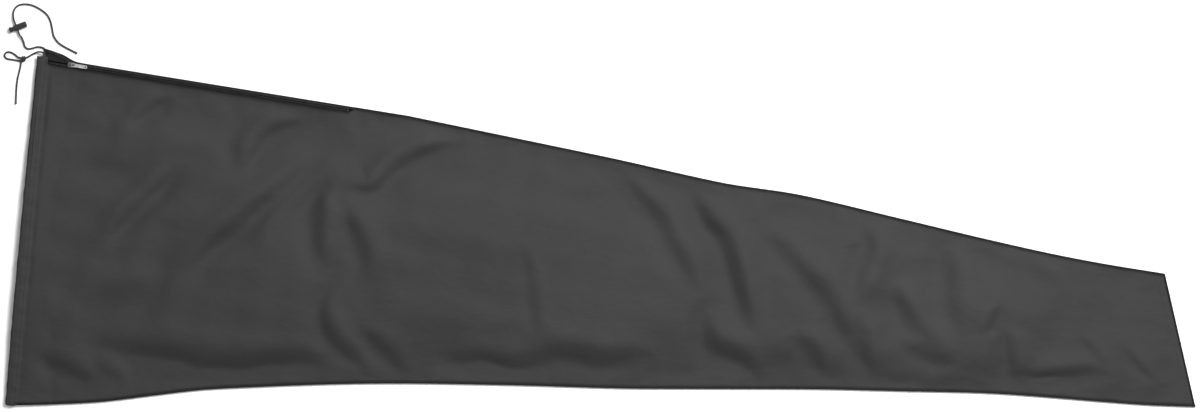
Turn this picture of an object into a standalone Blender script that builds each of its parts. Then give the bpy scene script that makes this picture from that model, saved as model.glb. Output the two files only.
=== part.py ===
"""Tapered fabric cover for a closed garden parasol, empty and laid flat on its back panel.

The wide mouth is at -X and the narrow closed end at +X. The zip runs along the far long edge (+Y), the
plain seam along the near one (-Y). Everything is modelled from the near corner of the mouth, which is
(0, 0, 0) until the last step moves the origin under the middle of the cover.
"""

import math

import bmesh
import bpy
import numpy as np
from mathutils import Matrix, Vector

# Outline of the flat cover, all along its outermost edge.
LENGTH = 1.955
MOUTH_WIDTH = 0.5768
END_WIDTH = 0.225
END_DROP = 0.0026
MOUTH_LEAN = math.radians(5.26)
END_LEAN = math.radians(12.9)
ZIP_EDGE_BOW = math.radians(1.75)
STRAIGHT_PAST_ZIP = 0.10
# How far the near edge bows in, and the zip edge out past its straight stretch: (share of the way, metres).
NEAR_EDGE_BOW = (
    (0.0, 0.0),
    (0.045, 0.0020),
    (0.08, 0.0059),
    (0.122, 0.0158),
    (0.164, 0.0255),
    (0.21, 0.0305),
    (0.33, 0.0368),
    (0.42, 0.0344),
    (0.54, 0.0287),
    (0.67, 0.0284),
    (0.75, 0.0253),
    (0.835, 0.0210),
    (0.88, 0.0148),
    (0.92, 0.0085),
    (0.96, 0.0029),
    (1.0, 0.0),
)
ZIP_EDGE_WAVE = (
    (0.0, 0.0),
    (0.25, 0.0004),
    (0.41, -0.0022),
    (0.52, 0.0044),
    (0.65, 0.0),
    (0.78, -0.0047),
    (0.85, -0.0059),
    (0.92, -0.0045),
    (1.0, 0.0),
)

# Fabric and the gap that separate pieces keep.
GAP = 0.0003
FABRIC = 0.0015
SEAM_DIAMETER = 0.0036
BACK_EDGE_INSET = 0.0006
CROWN_SHARE = 0.28
NEAR_EDGE_SETTLE = 0.08
END_SETTLE = 0.19
# Height of the front panel's middle above the ground: (share of the length, metres).
FRONT_HEIGHT = ((0.0, 0.0180), (0.3, 0.0192), (0.6, 0.0178), (0.85, 0.0145), (1.0, 0.0120))

# Drawcord and the casing hemmed round the mouth.
CORD_DIAMETER = 0.003
HEM_WIDTH = 0.018
HEM_WALL = 0.0008
CASING_WIDTH = 0.012
CASING_FROM_EDGE = 0.003
CORD_FROM_EDGE = 0.0095
HEM_TURN_RADIUS = 0.0036
FRONT_HEM_SHORT = 0.0138
BACK_HEM_SHORT = 0.004
HEM_ZIP_END_DROP = 0.0009
HEM_CHAMFER = 0.0012
CASING_CHAMFER = 0.0009
HEM_LEVEL_FROM = 0.02
HEM_CORD_LEAST_STEP = 0.0004

# Coil zip. Distances along it are from the mouth, distances across it from the cover's edge.
ZIP_LENGTH = 0.50
ZIP_INSET = 0.0061
TAPE = 0.0006
TAPE_OVER_HEM = 0.0005
TAPE_START = 0.0095
TAPE_TAIL = 0.011
TAPE_FROM_CENTRE = 0.0015
FRONT_TAPE_REACH = 0.016
FRONT_TAPE_TRIM = 0.0122
COIL_FROM_CENTRE = 0.00015
COIL_WIDTH = 0.00305
COIL_HEIGHT = 0.0018
TOP_STOP_AT = 0.0169
STOP_LENGTH = 0.0034
FRONT_EDGE_FROM_ZIP = 0.0052
CLOSE_OVER = 0.013
WALL_FALL = 0.06
WALL_TURN_RADIUS = 0.0012
FLAT_BEFORE_WALL = 0.0006
TAPE_TRIM_PAST_HEM = 0.001
TAPE_TRIM_LENGTH = 0.005
STOP_CHAMFER = 0.0004
COIL_CHAMFER = 0.0005
COIL_PARTING_FROM = 0.0485
COIL_PARTING_PLACES = (0.0505, 0.052, 0.0535, 0.055, 0.0565, 0.060)
# How far the back half of the open zip lies out past the edge: (distance from the mouth, metres).
ZIP_FLARE = (
    (0.0, 0.0155),
    (0.0092, 0.0143),
    (0.030, 0.0108),
    (0.043, 0.0080),
    (0.052, 0.0044),
    (0.060, 0.0016),
    (0.072, 0.0002),
    (0.090, 0.0),
)
# The same for the inner side of the back coil, which the slider still holds together at its tail.
BACK_COIL_FLARE = (
    (0.0, 0.0150),
    (0.0095, 0.0143),
    (0.030, 0.0106),
    (0.043, 0.0072),
    (0.0505, 0.0026),
    (0.0535, 0.0013),
    (0.0565, 0.0),
    (0.090, 0.0),
)
FRONT_COIL_FLARE = (
    (0.0, 0.0006),
    (0.030, 0.0008),
    (0.045, 0.0013),
    (0.0505, 0.0016),
    (0.0535, 0.0012),
    (0.0565, 0.0),
    (0.090, 0.0),
)

# Slider and its pull.
SLIDER_AT = 0.0575
SLIDER_LENGTH = 0.011
SLIDER_WIDTH = 0.0086
SLIDER_TAIL_WIDTH = 0.0076
SLIDER_PLATE = 0.001
SLIDER_FLANGE = 0.0008
FLANGE_LENGTH = 0.006
WEDGE_LENGTH = 0.0035
WEDGE_WIDTH = 0.0024
BRIDGE_LENGTH = 0.0064
BRIDGE_WIDTH = 0.0022
BRIDGE_INSIDE = 0.0022
BRIDGE_BAR = 0.0011
PIVOT_ALONG = 0.0008
PIVOT_HEIGHT = 0.0012
PULL_LENGTH = 0.026
PULL_WIDTH = 0.0056
PULL_THICKNESS = 0.0012
PULL_WINDOW_LENGTH = 0.0047
PULL_WINDOW_WIDTH = 0.0034
PULL_EYE_DIAMETER = 0.0022
PULL_TILT = math.radians(2.5)
PULL_CHAMFER = 0.0004
PLATE_CHAMFER = 0.0012
PLATE_TAIL_CHAMFER = 0.0008
PLATE_NOSE_SHARE = 0.62
PLATE_OVER_COIL = 0.0002
WEDGE_SETBACK = 0.0001
WEDGE_SUNK = 0.0003
FLANGE_SETBACK = 0.0009
FLANGE_SUNK = 0.0002
BRIDGE_SUNK = 0.0003
BRIDGE_INNER_CHAMFER = 0.0005
BRIDGE_SHOULDER = 0.0014
CUT_HALF_DEPTH = 0.002

# Spring cord lock. Distances along it are from the cord's hole.
LOCK_PLACE = (0.0185, 0.6207)
LOCK_ANGLE = math.radians(21.0)
LOCK_DIAMETER = 0.010
LOCK_OPEN_END = 0.005
LOCK_CLOSED_END = 0.017
LOCK_END_WALL = 0.003
LOCK_TRAVEL = 0.0032
PLUNGER_DIAMETER = 0.0072
PLUNGER_HEAD_DIAMETER = 0.0096
PLUNGER_HEAD = 0.004
PLUNGER_TIP = 0.005
LOCK_EASE = 0.0009
LOCK_CUT_PAST = 0.002
HEAD_OVERLAP = 0.001
SPRING_DIAMETER = 0.0052
SPRING_WIRE = 0.0006
SPRING_TURNS = 6
SPRING_POINTS_PER_TURN = 12

# Free drawcord ends. Their points are as they lie on the ground, from the near corner of the mouth.
TIP_LENGTH = 0.004
TIP_DIAMETER = 0.0035
KNOT_PLACE = (0.0266, 0.5693)
KNOT_SIZE = (0.0125, 0.0085, 0.0064)
CORD_STEP = 2.5
LOCK_CORD_ROUTE = (
    (0.0630, 0.5712, 0.0026),
    (0.0644, 0.5765, 0.0024),
    (0.0650, 0.5820, 0.0019),
    (0.0624, 0.5868, 0.0018),
    (0.0570, 0.5887, 0.0018),
    (0.0510, 0.5888, 0.0018),
    (0.0430, 0.5866, 0.0018),
    (0.0360, 0.5860, 0.0018),
    (0.0316, 0.5892, 0.0019),
    (0.0297, 0.5965, 0.0028),
    (0.0265, 0.6042, 0.0044),
    (0.0226, 0.6100, 0.0050),
    (0.0185, 0.6207, 0.0050),
    (0.0144, 0.6314, 0.0050),
    (0.0129, 0.6378, 0.0040),
    (0.0124, 0.6445, 0.0024),
    (0.0150, 0.6520, 0.0018),
    (0.0210, 0.6573, 0.0018),
    (0.0300, 0.6592, 0.0018),
    (0.0400, 0.6584, 0.0018),
    (0.0500, 0.6546, 0.0018),
    (0.0600, 0.6486, 0.0018),
    (0.0685, 0.6410, 0.0018),
    (0.0735, 0.6310, 0.0018),
    (0.0762, 0.6190, 0.0018),
    (0.0790, 0.6065, 0.0018),
    (0.0850, 0.5975, 0.0018),
    (0.0950, 0.5900, 0.0018),
    (0.1060, 0.5842, 0.0018),
    (0.1135, 0.5804, 0.0018),
)
LOCK_STRAIGHT_HALF = 0.0115
BOW_CORD_ROUTE = (
    (0.0622, 0.5616, 0.0084),
    (0.0642, 0.5670, 0.0086),
    (0.0655, 0.5722, 0.0086),
    (0.0640, 0.5774, 0.0084),
    (0.0596, 0.5802, 0.0077),
    (0.0540, 0.5806, 0.0060),
    (0.0480, 0.5788, 0.0036),
    (0.0410, 0.5752, 0.0020),
    (0.0331, 0.5708, 0.0024),
)
BOW_LOOP_ROUTE = (
    (0.0200, 0.5716, 0.0030),
    (0.0170, 0.5750, 0.0022),
    (0.0120, 0.5784, 0.0018),
    (0.0055, 0.5808, 0.0018),
    (0.0002, 0.5796, 0.0018),
    (-0.0022, 0.5756, 0.0018),
    (-0.0006, 0.5712, 0.0018),
    (0.0050, 0.5690, 0.0018),
    (0.0120, 0.5683, 0.0018),
    (0.0196, 0.5676, 0.0020),
)
BOW_TAIL_ROUTE = (
    (0.0257, 0.5642, 0.0021),
    (0.0246, 0.5580, 0.0018),
    (0.0225, 0.5495, 0.0018),
    (0.0197, 0.5380, 0.0018),
    (0.0179, 0.5250, 0.0018),
    (0.0171, 0.5120, 0.0018),
    (0.0167, 0.4995, 0.0018),
)

CORNER = np.array([0.0, 0.0])
MOUTH_WAY = np.array([math.sin(MOUTH_LEAN), math.cos(MOUTH_LEAN)])
INTO_COVER = np.array([math.cos(MOUTH_LEAN), -math.sin(MOUTH_LEAN)])
ZIP_CORNER = CORNER + MOUTH_WIDTH * MOUTH_WAY
END_CORNER = np.array([LENGTH, -END_DROP])
END_WAY = np.array([-math.sin(END_LEAN), math.cos(END_LEAN)])
FAR_CORNER = END_CORNER + END_WIDTH * END_WAY
ZIP_ANGLE = math.atan2(*(FAR_CORNER - ZIP_CORNER)[::-1]) + ZIP_EDGE_BOW
ZIP_WAY = np.array([math.cos(ZIP_ANGLE), math.sin(ZIP_ANGLE)])
ZIP_SIDE = np.array([math.sin(ZIP_ANGLE), -math.cos(ZIP_ANGLE)])
BOTTOM_STOP_AT = TOP_STOP_AT + ZIP_LENGTH
STRAIGHT_EDGE = BOTTOM_STOP_AT + STRAIGHT_PAST_ZIP
STRAIGHT_END = ZIP_CORNER + STRAIGHT_EDGE * ZIP_WAY
FAR_EDGE = STRAIGHT_EDGE + float(np.linalg.norm(FAR_CORNER - STRAIGHT_END))
TAPE_END = BOTTOM_STOP_AT + TAPE_TAIL
FRONT_EDGE = ZIP_INSET + FRONT_EDGE_FROM_ZIP
SEAM_INSET = SEAM_DIAMETER + GAP
SEAM_HEIGHT = FABRIC + GAP + SEAM_DIAMETER / 2
HEM_HEIGHT = CORD_DIAMETER + 2 * GAP + 2 * HEM_WALL
ZIP_HEIGHT = HEM_HEIGHT + TAPE_OVER_HEM + TAPE / 2
TAPE_TOP = ZIP_HEIGHT + TAPE / 2
TAPE_UNDER = ZIP_HEIGHT - TAPE / 2
COIL_MIDDLE = TAPE_TOP + GAP + COIL_HEIGHT / 2
ZIP_EDGE_HEIGHT = TAPE_TOP + GAP + FABRIC / 2
WALL_TOP = TAPE_UNDER - GAP
HEM_UPPER_LEG = HEM_HEIGHT / 2 + 2 * HEM_TURN_RADIUS
HEM_ZIP_END_HEIGHT = TAPE_TOP + GAP + HEM_HEIGHT / 2 - HEM_ZIP_END_DROP
LOCK_RADIUS = LOCK_DIAMETER / 2


def smooth_curve(points, rounded=False):
    """A function that runs smoothly through (place, value) points: cubic pieces, level past both ends. Unless
    rounded, it never swings past a point's own value."""
    places, values = np.array(points, float).T
    slopes = np.gradient(values, places)
    if not rounded:
        rise = np.diff(values) / np.diff(places)
        turning = rise[1:] * rise[:-1] <= 0
        slopes[1:-1][turning] = 0.0
        slopes[[0, -1]] = rise[[0, -1]]
        steepest = 3 * np.minimum(np.abs(np.append(rise, rise[-1])), np.abs(np.insert(rise, 0, rise[0])))
        slopes = np.clip(slopes, -steepest, steepest)

    def value(at):
        at = np.clip(at, places[0], places[-1])
        i = np.clip(np.searchsorted(places, at) - 1, 0, len(places) - 2)
        step = places[i + 1] - places[i]
        s = (at - places[i]) / step
        return (
            (2 * s**3 - 3 * s**2 + 1) * values[i]
            + (s**3 - 2 * s**2 + s) * step * slopes[i]
            + (3 * s**2 - 2 * s**3) * values[i + 1]
            + (s**3 - s**2) * step * slopes[i + 1]
        )

    return value


def ease(x):
    """0 to 1 with level ends."""
    x = np.clip(x, 0.0, 1.0)
    return x * x * (3 - 2 * x)


near_bow = smooth_curve(NEAR_EDGE_BOW)
far_wave = smooth_curve(ZIP_EDGE_WAVE)
front_height = smooth_curve(FRONT_HEIGHT)
flare = smooth_curve(ZIP_FLARE)
back_coil_flare = smooth_curve(BACK_COIL_FLARE)
front_coil_flare = smooth_curve(FRONT_COIL_FLARE)


def near_edge(share):
    """Point on the plain long edge, from the mouth (0) to the closed end (1)."""
    share = np.asarray(share, float)[..., None]
    line = CORNER + share * (END_CORNER - CORNER)
    return line + near_bow(share) * np.array([0.0, 1.0])


def zip_edge(distance):
    """Point on the long edge with the zip, at a distance from the mouth: straight, then a gentle wave."""
    distance = np.asarray(distance, float)[..., None]
    straight = ZIP_CORNER + distance * ZIP_WAY
    chord = FAR_CORNER - STRAIGHT_END
    share = (distance - STRAIGHT_EDGE) / (FAR_EDGE - STRAIGHT_EDGE)
    outward = np.array([-chord[1], chord[0]]) / np.linalg.norm(chord)
    waved = STRAIGHT_END + share * chord + far_wave(share) * outward
    return np.where(distance < STRAIGHT_EDGE, straight, waved)


def inset(edge, at, amount, side):
    """Points of an edge moved in from it by an amount; side is 1 on the near edge and -1 on the zip's."""
    step = 1e-4
    way = edge(np.asarray(at) + step) - edge(np.asarray(at) - step)
    way /= np.linalg.norm(way, axis=-1, keepdims=True)
    normal = side * np.stack([-way[..., 1], way[..., 0]], axis=-1)
    return edge(at) + np.asarray(amount, float)[..., None] * normal


def from_mouth(distance, across):
    """Point in the zip's straight stretch: distance from the mouth along it, across it from the edge."""
    distance = np.asarray(distance, float)[..., None]
    across = np.asarray(across, float)[..., None]
    return ZIP_CORNER + distance * ZIP_WAY + across * ZIP_SIDE


def front_inset(distance):
    """How far the front panel's edge stays in from the cover's: beside the zip, then up to the seam."""
    closing = ease((distance - BOTTOM_STOP_AT - STOP_LENGTH / 2 - GAP) / (CLOSE_OVER - STOP_LENGTH))
    return FRONT_EDGE + (SEAM_INSET - FRONT_EDGE) * closing


def wall_share(distance):
    """1 where the back panel stands up to the zip, falling to 0 past the zip's end."""
    return 1 - ease((distance - BOTTOM_STOP_AT) / WALL_FALL)


def wall_height(distance):
    return FABRIC / 2 + (WALL_TOP - FABRIC / 2) * wall_share(distance)


def seam_height(distance):
    """Middle of the zip edge's seam, which comes down from the zip to the back panel."""
    return np.maximum(FABRIC, wall_height(distance)) + GAP + SEAM_DIAMETER / 2


def principled(name, colour, roughness, metallic=0.0):
    material = bpy.data.materials.new(name)
    material.use_nodes = True
    shader = material.node_tree.nodes["Principled BSDF"]
    shader.inputs["Base Color"].default_value = (*colour, 1.0)
    shader.inputs["Roughness"].default_value = roughness
    shader.inputs["Metallic"].default_value = metallic
    material.diffuse_color = (*colour, 1.0)
    return material


def empty(name, location=(0, 0, 0), parent=None):
    mark = bpy.data.objects.new(name, None)
    mark.empty_display_size = 0.02
    mark.location = location
    mark.parent = parent
    bpy.context.scene.collection.objects.link(mark)
    return mark


def mesh_object(name, points, faces, material, parent):
    """An object with its own mesh, its normals made to point out."""
    mesh = bpy.data.meshes.new(name)
    mesh.from_pydata([tuple(map(float, p)) for p in points], [], faces)
    made = bmesh.new()
    made.from_mesh(mesh)
    bmesh.ops.recalc_face_normals(made, faces=made.faces)
    made.to_mesh(mesh)
    made.free()
    mesh.materials.append(material)
    mesh.shade_smooth()
    mesh.set_sharp_from_angle(angle=math.radians(40))
    obj = bpy.data.objects.new(name, mesh)
    obj.parent = parent
    bpy.context.scene.collection.objects.link(obj)
    return obj


def sheet(name, rows, thickness, material, parent):
    """A thin sheet: a grid of middle points, rows by columns, thickened evenly to both sides."""
    rows = np.asarray(rows)
    high, wide = rows.shape[:2]
    faces = [
        (r * wide + c, r * wide + c + 1, (r + 1) * wide + c + 1, (r + 1) * wide + c)
        for r in range(high - 1)
        for c in range(wide - 1)
    ]
    obj = mesh_object(name, rows.reshape(-1, 3), faces, material, parent)
    wall = obj.modifiers.new("thickness", "SOLIDIFY")
    wall.thickness = thickness
    wall.offset = 0.0
    wall.use_even_offset = True
    return obj


def swept(name, loops, centres, sides, ups, material, parent):
    """A closed profile carried along a path. loops holds the outer loop and perhaps an inner one, as (side, up)
    points; each station has its centre, its side way and its up way."""
    points = []
    for loop in loops:
        for centre, side, up in zip(centres, sides, ups):
            points += [centre + a * side + b * up for a, b in loop]
    faces = []
    start = 0
    for loop in loops:
        n = len(loop)
        for i in range(len(centres) - 1):
            for k in range(n):
                a = start + i * n + k
                b = start + i * n + (k + 1) % n
                faces.append((a, b, b + n, a + n))
        start += n * len(centres)
    last = (len(centres) - 1) * len(loops[0])
    n = len(loops[0])
    if len(loops) == 1:
        faces.append(tuple(range(n)))
        faces.append(tuple(last + k for k in range(n)))
    else:
        inner = n * len(centres)
        for k in range(n):
            j = (k + 1) % n
            faces.append((k, j, inner + j, inner + k))
            faces.append((last + k, last + j, inner + last + j, inner + last + k))
    return mesh_object(name, points, faces, material, parent)


def chamfered_box(side_low, side_high, half_height, chamfer):
    """Eight-sided loop of a rectangle with its corners taken off."""
    return (
        (side_low + chamfer, -half_height),
        (side_high - chamfer, -half_height),
        (side_high, -half_height + chamfer),
        (side_high, half_height - chamfer),
        (side_high - chamfer, half_height),
        (side_low + chamfer, half_height),
        (side_low, half_height - chamfer),
        (side_low, -half_height + chamfer),
    )


def tube(name, points, diameter, material, parent):
    """A round cord along points that are already close together."""
    data = bpy.data.curves.new(name, "CURVE")
    data.dimensions = "3D"
    data.bevel_depth = diameter / 2
    data.bevel_resolution = 2
    data.use_fill_caps = True
    line = data.splines.new("POLY")
    line.points.add(len(points) - 1)
    for slot, point in zip(line.points, points):
        slot.co = (*map(float, point), 1.0)
    data.materials.append(material)
    obj = bpy.data.objects.new(name, data)
    obj.parent = parent
    bpy.context.scene.collection.objects.link(obj)
    return obj


def route(points):
    """A smooth curve through hand-placed points, read every few diameters."""
    points = np.array(points, float)
    along = np.concatenate([[0.0], np.cumsum(np.linalg.norm(np.diff(points, axis=0), axis=1))])
    curves = [smooth_curve(np.column_stack([along, points[:, k]]), rounded=True) for k in range(3)]
    count = max(4, round(along[-1] / (CORD_STEP * CORD_DIAMETER)) + 1)
    return np.stack([curve(np.linspace(0, along[-1], count)) for curve in curves], axis=1)


def cut_away(obj, cutter, name):
    cutter.hide_render = True
    cutter.display_type = "WIRE"
    cut = obj.modifiers.new(name, "BOOLEAN")
    cut.operation = "DIFFERENCE"
    cut.solver = "EXACT"
    cut.object = cutter


def join_on(obj, other, name):
    other.hide_render = True
    other.display_type = "WIRE"
    joined = obj.modifiers.new(name, "BOOLEAN")
    joined.operation = "UNION"
    joined.solver = "EXACT"
    joined.object = other


def cylinder(name, diameter, length, material, parent, segments=32, end_bevel=0.0):
    """A cylinder along its own X axis, centred on its origin."""
    made = bmesh.new()
    bmesh.ops.create_cone(
        made,
        cap_ends=True,
        segments=segments,
        radius1=diameter / 2,
        radius2=diameter / 2,
        depth=length,
        matrix=Matrix.Rotation(math.pi / 2, 4, "Y"),
    )
    if end_bevel:
        rims = [e for e in made.edges if len({round(v.co.x, 6) for v in e.verts}) == 1]
        bmesh.ops.bevel(made, geom=rims, offset=end_bevel, segments=2, affect="EDGES")
    mesh = bpy.data.meshes.new(name)
    made.to_mesh(mesh)
    made.free()
    mesh.materials.append(material)
    mesh.shade_smooth()
    mesh.set_sharp_from_angle(angle=math.radians(40))
    obj = bpy.data.objects.new(name, mesh)
    obj.parent = parent
    bpy.context.scene.collection.objects.link(obj)
    return obj


def block(name, low, high, material, parent, bevel=0.0):
    """A box between two corners, its edges perhaps eased."""
    corners = [(x, y, z) for z in (low[2], high[2]) for y in (low[1], high[1]) for x in (low[0], high[0])]
    faces = [(0, 2, 3, 1), (4, 5, 7, 6), (0, 1, 5, 4), (2, 6, 7, 3), (0, 4, 6, 2), (1, 3, 7, 5)]
    obj = mesh_object(name, corners, faces, material, parent)
    if bevel:
        ease_edges = obj.modifiers.new("eased edges", "BEVEL")
        ease_edges.width = bevel
        ease_edges.segments = 2
    return obj


def extruded(name, outline, low, high, material, parent):
    """A flat outline given thickness from one height to another."""
    n = len(outline)
    points = [(x, y, low) for x, y in outline] + [(x, y, high) for x, y in outline]
    faces = [tuple(range(n)), tuple(range(n, 2 * n))]
    faces += [(k, (k + 1) % n, n + (k + 1) % n, n + k) for k in range(n)]
    return mesh_object(name, points, faces, material, parent)


def lengthwise_shares():
    """Where the panels' columns stand, as distances along the zip edge: close together past the zip's end."""
    turn = -(MOUTH_LEAN + ZIP_ANGLE)
    first = (HEM_WIDTH + GAP + FRONT_EDGE * math.sin(turn)) / math.cos(turn)
    end_share = SEAM_INSET * (1 + math.tan(END_LEAN)) / math.cos(END_LEAN) / LENGTH
    last = FAR_EDGE * (1 - end_share)
    beside_zip = np.linspace(first, BOTTOM_STOP_AT + STOP_LENGTH / 2, 15)
    closing = BOTTOM_STOP_AT + STOP_LENGTH / 2 + CLOSE_OVER * np.array([0.25, 0.5, 0.75, 1.0])
    falling = BOTTOM_STOP_AT + WALL_FALL * np.array([0.37, 0.5, 0.63, 0.76, 0.9, 1.05])
    past_zip = np.linspace(falling[-1], last, 26)[1:]
    return np.concatenate([beside_zip, closing, falling, past_zip])


def crown(v):
    """0 along both long edges, 1 over the flat middle."""
    return ease(np.minimum(v, 1 - v) / CROWN_SHARE)


def front_panel(material, parent):
    distance = lengthwise_shares()
    share = distance / FAR_EDGE
    near = inset(near_edge, share, np.full_like(share, SEAM_INSET), 1)
    far = inset(zip_edge, distance, front_inset(distance), -1)
    near_height = SEAM_HEIGHT + (HEM_UPPER_LEG - SEAM_HEIGHT) * (1 - ease(share * LENGTH / NEAR_EDGE_SETTLE))
    hem_lift = (HEM_ZIP_END_HEIGHT - ZIP_EDGE_HEIGHT) * (1 - ease(distance / SLIDER_AT))
    past_zip = wall_share(distance - CLOSE_OVER)
    far_height = SEAM_HEIGHT + (ZIP_EDGE_HEIGHT - SEAM_HEIGHT) * past_zip + hem_lift
    middle = SEAM_HEIGHT + (front_height(share) - SEAM_HEIGHT) * ease((1 - share) / END_SETTLE)
    rows = []
    for v in np.linspace(0, 1, 15):
        plan = near + (far - near) * v
        edge_height = near_height + (far_height - near_height) * v
        height = edge_height + (middle - edge_height) * crown(v)
        rows.append(np.column_stack([plan, height]))
    return sheet("front_panel", rows, FABRIC, material, parent)


def back_panel(material, parent):
    """Flat on the ground; beside the zip its edge stands up to meet the tape."""
    distance = lengthwise_shares()
    share = distance / FAR_EDGE
    standing = wall_share(distance)
    out = flare(distance)
    turn = WALL_TURN_RADIUS
    near = inset(near_edge, share, np.full_like(share, BACK_EDGE_INSET), 1)
    far = inset(zip_edge, distance, FABRIC / 2 + turn + FLAT_BEFORE_WALL - out, -1)
    flat = np.full_like(share, FABRIC / 2)
    rows = [np.column_stack([near + (far - near) * v, flat]) for v in (0, 0.3, 0.6, 0.9, 1)]
    corner = FABRIC / 2 + turn
    for k in range(5):
        angle = math.radians(30 * min(k, 3))
        across_up = corner - turn * math.sin(angle)
        height_up = corner - turn * math.cos(angle) if k < 4 else WALL_TOP
        across_flat = corner + (BACK_EDGE_INSET - corner) * k / 4
        across = across_flat + (across_up - across_flat) * standing
        height = FABRIC / 2 + (height_up - FABRIC / 2) * standing
        rows.append(np.column_stack([inset(zip_edge, distance, across - out, -1), height]))
    return sheet("back_panel", rows, FABRIC, material, parent)


def hem_path(upper):
    """Stations of the hem's outer edge, as (distance from the near corner along the mouth, height)."""
    turn_middle = HEM_HEIGHT / 2 + HEM_TURN_RADIUS
    first = math.asin(GAP / 2 / HEM_TURN_RADIUS)
    quarter = np.linspace(first, math.pi / 2, 6)
    around = HEM_TURN_RADIUS * np.column_stack([-np.cos(quarter), np.sin(quarter)]) + (turn_middle, 0.0)
    if not upper:
        end = MOUTH_WIDTH - BACK_HEM_SHORT
        along = np.column_stack([around[:, 0], turn_middle - around[:, 1]])
        return np.vstack([along, [(d, HEM_HEIGHT / 2) for d in np.linspace(HEM_LEVEL_FROM, end, 6)]])
    end = MOUTH_WIDTH - FRONT_HEM_SHORT
    along = np.column_stack([around[:, 0], turn_middle + around[:, 1]])
    d = np.linspace(HEM_LEVEL_FROM, end, 18)
    level = HEM_UPPER_LEG + (HEM_ZIP_END_HEIGHT - HEM_UPPER_LEG) * d / MOUTH_WIDTH
    height = level + (FRONT_HEIGHT[0][1] - level) * crown(d / MOUTH_WIDTH)
    return np.vstack([along, np.column_stack([d, height])])


def hem_stations(path):
    """Centres on the mouth's outer edge with the ways into the cover and up, for sweeping the hem."""
    centres = np.column_stack([path[:, :1] * MOUTH_WAY, path[:, 1]])
    ways = np.gradient(path, axis=0)
    ways[0] = (0.0, np.sign(ways[0, 1]))
    ways /= np.linalg.norm(ways, axis=1, keepdims=True)
    side = np.array([*INTO_COVER, 0.0])
    ups = np.column_stack([-ways[:, 1:] * MOUTH_WAY, ways[:, 0]])
    return centres, [side] * len(path), ups


def hem(name, upper, material, parent):
    inside = CASING_FROM_EDGE + CASING_WIDTH
    outer = chamfered_box(0.0, HEM_WIDTH, HEM_HEIGHT / 2, HEM_CHAMFER)
    casing = chamfered_box(CASING_FROM_EDGE, inside, HEM_HEIGHT / 2 - HEM_WALL, CASING_CHAMFER)
    centres, sides, ups = hem_stations(hem_path(upper))
    return swept(name, (outer, casing), centres, sides, ups, material, parent)


def hem_drawcord(material, parent):
    """The whole cord inside the hem, from the front hem's open end round the near corner to the back's."""
    path = np.vstack([hem_path(True)[::-1], hem_path(False)])
    along = np.concatenate([[0.0], np.cumsum(np.linalg.norm(np.diff(path, axis=0), axis=1))])
    keep = np.concatenate([[True], np.diff(along) > HEM_CORD_LEAST_STEP])
    centres = path[keep, :1] * MOUTH_WAY + CORD_FROM_EDGE * INTO_COVER
    return tube("hem_drawcord", np.column_stack([centres, path[keep, 1]]), CORD_DIAMETER, material, parent)


def seam(name, plan, heights, material, parent):
    """Bound seam allowance, round in section, along the cover's edge."""
    return tube(name, np.column_stack([plan, heights]), SEAM_DIAMETER, material, parent)


def seams(material, parent):
    middle = SEAM_DIAMETER / 2
    past_hem = (HEM_WIDTH / math.cos(MOUTH_LEAN) + SEAM_DIAMETER * math.tan(MOUTH_LEAN) + GAP) / LENGTH
    share = np.linspace(past_hem, 1 - middle * math.tan(END_LEAN) / LENGTH, 56)
    settled = ease((share - past_hem) * LENGTH / NEAR_EDGE_SETTLE)
    heights = SEAM_HEIGHT + HEM_TURN_RADIUS * 0.6 * (1 - settled)
    seam("near_seam", inset(near_edge, share, np.full_like(share, middle), 1), heights, material, parent)
    distance = np.linspace(TAPE_END + GAP, FAR_EDGE - middle * math.tan(END_LEAN - ZIP_ANGLE), 44)
    plan = inset(zip_edge, distance, np.full_like(distance, middle), -1)
    seam("zip_edge_seam", plan, seam_height(distance), material, parent)
    into = np.array([-math.cos(END_LEAN), -math.sin(END_LEAN)])
    clear = SEAM_DIAMETER * (1 + math.tan(END_LEAN)) + 3 * GAP
    across = np.linspace(clear / math.cos(END_LEAN), END_WIDTH - clear / math.cos(END_LEAN - ZIP_ANGLE), 7)
    plan = END_CORNER + across[:, None] * END_WAY + middle * into
    seam("end_seam", plan, np.full(len(across), SEAM_HEIGHT), material, parent)


def zip_tapes(material, parent):
    """Two tapes in one plane, meeting side by side under the coils and parted between slider and mouth."""
    inner_front = ZIP_INSET + TAPE_FROM_CENTRE
    trim_end = HEM_WIDTH + TAPE_TRIM_PAST_HEM
    trimmed = [TAPE_START, trim_end, trim_end + TAPE_TRIM_LENGTH]
    distance = np.concatenate([trimmed, np.linspace(0.04, TAPE_END, 8)])
    reach = np.where(distance < trim_end + GAP, FRONT_TAPE_TRIM, FRONT_TAPE_REACH)
    rows = [
        np.column_stack([from_mouth(distance, across), np.full_like(distance, ZIP_HEIGHT)])
        for across in (np.full_like(distance, inner_front), reach)
    ]
    sheet("front_zip_tape", rows, TAPE, material, parent)
    distance = np.concatenate([np.linspace(TAPE_START, 0.075, 16), np.linspace(0.1, TAPE_END, 6)])
    inner = ZIP_INSET - TAPE_FROM_CENTRE - back_coil_flare(distance)
    outer = GAP - flare(distance)
    rows = [
        np.column_stack([from_mouth(distance, across), np.full_like(distance, ZIP_HEIGHT)])
        for across in (inner, outer)
    ]
    sheet("back_zip_tape", rows, TAPE, material, parent)


def coil_centre(distance, side):
    """Middle of one coil row across the zip; side is 1 for the front row and -1 for the back."""
    row = ZIP_INSET + side * (COIL_FROM_CENTRE + COIL_WIDTH / 2)
    return row + (front_coil_flare(distance) if side > 0 else -back_coil_flare(distance))


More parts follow.
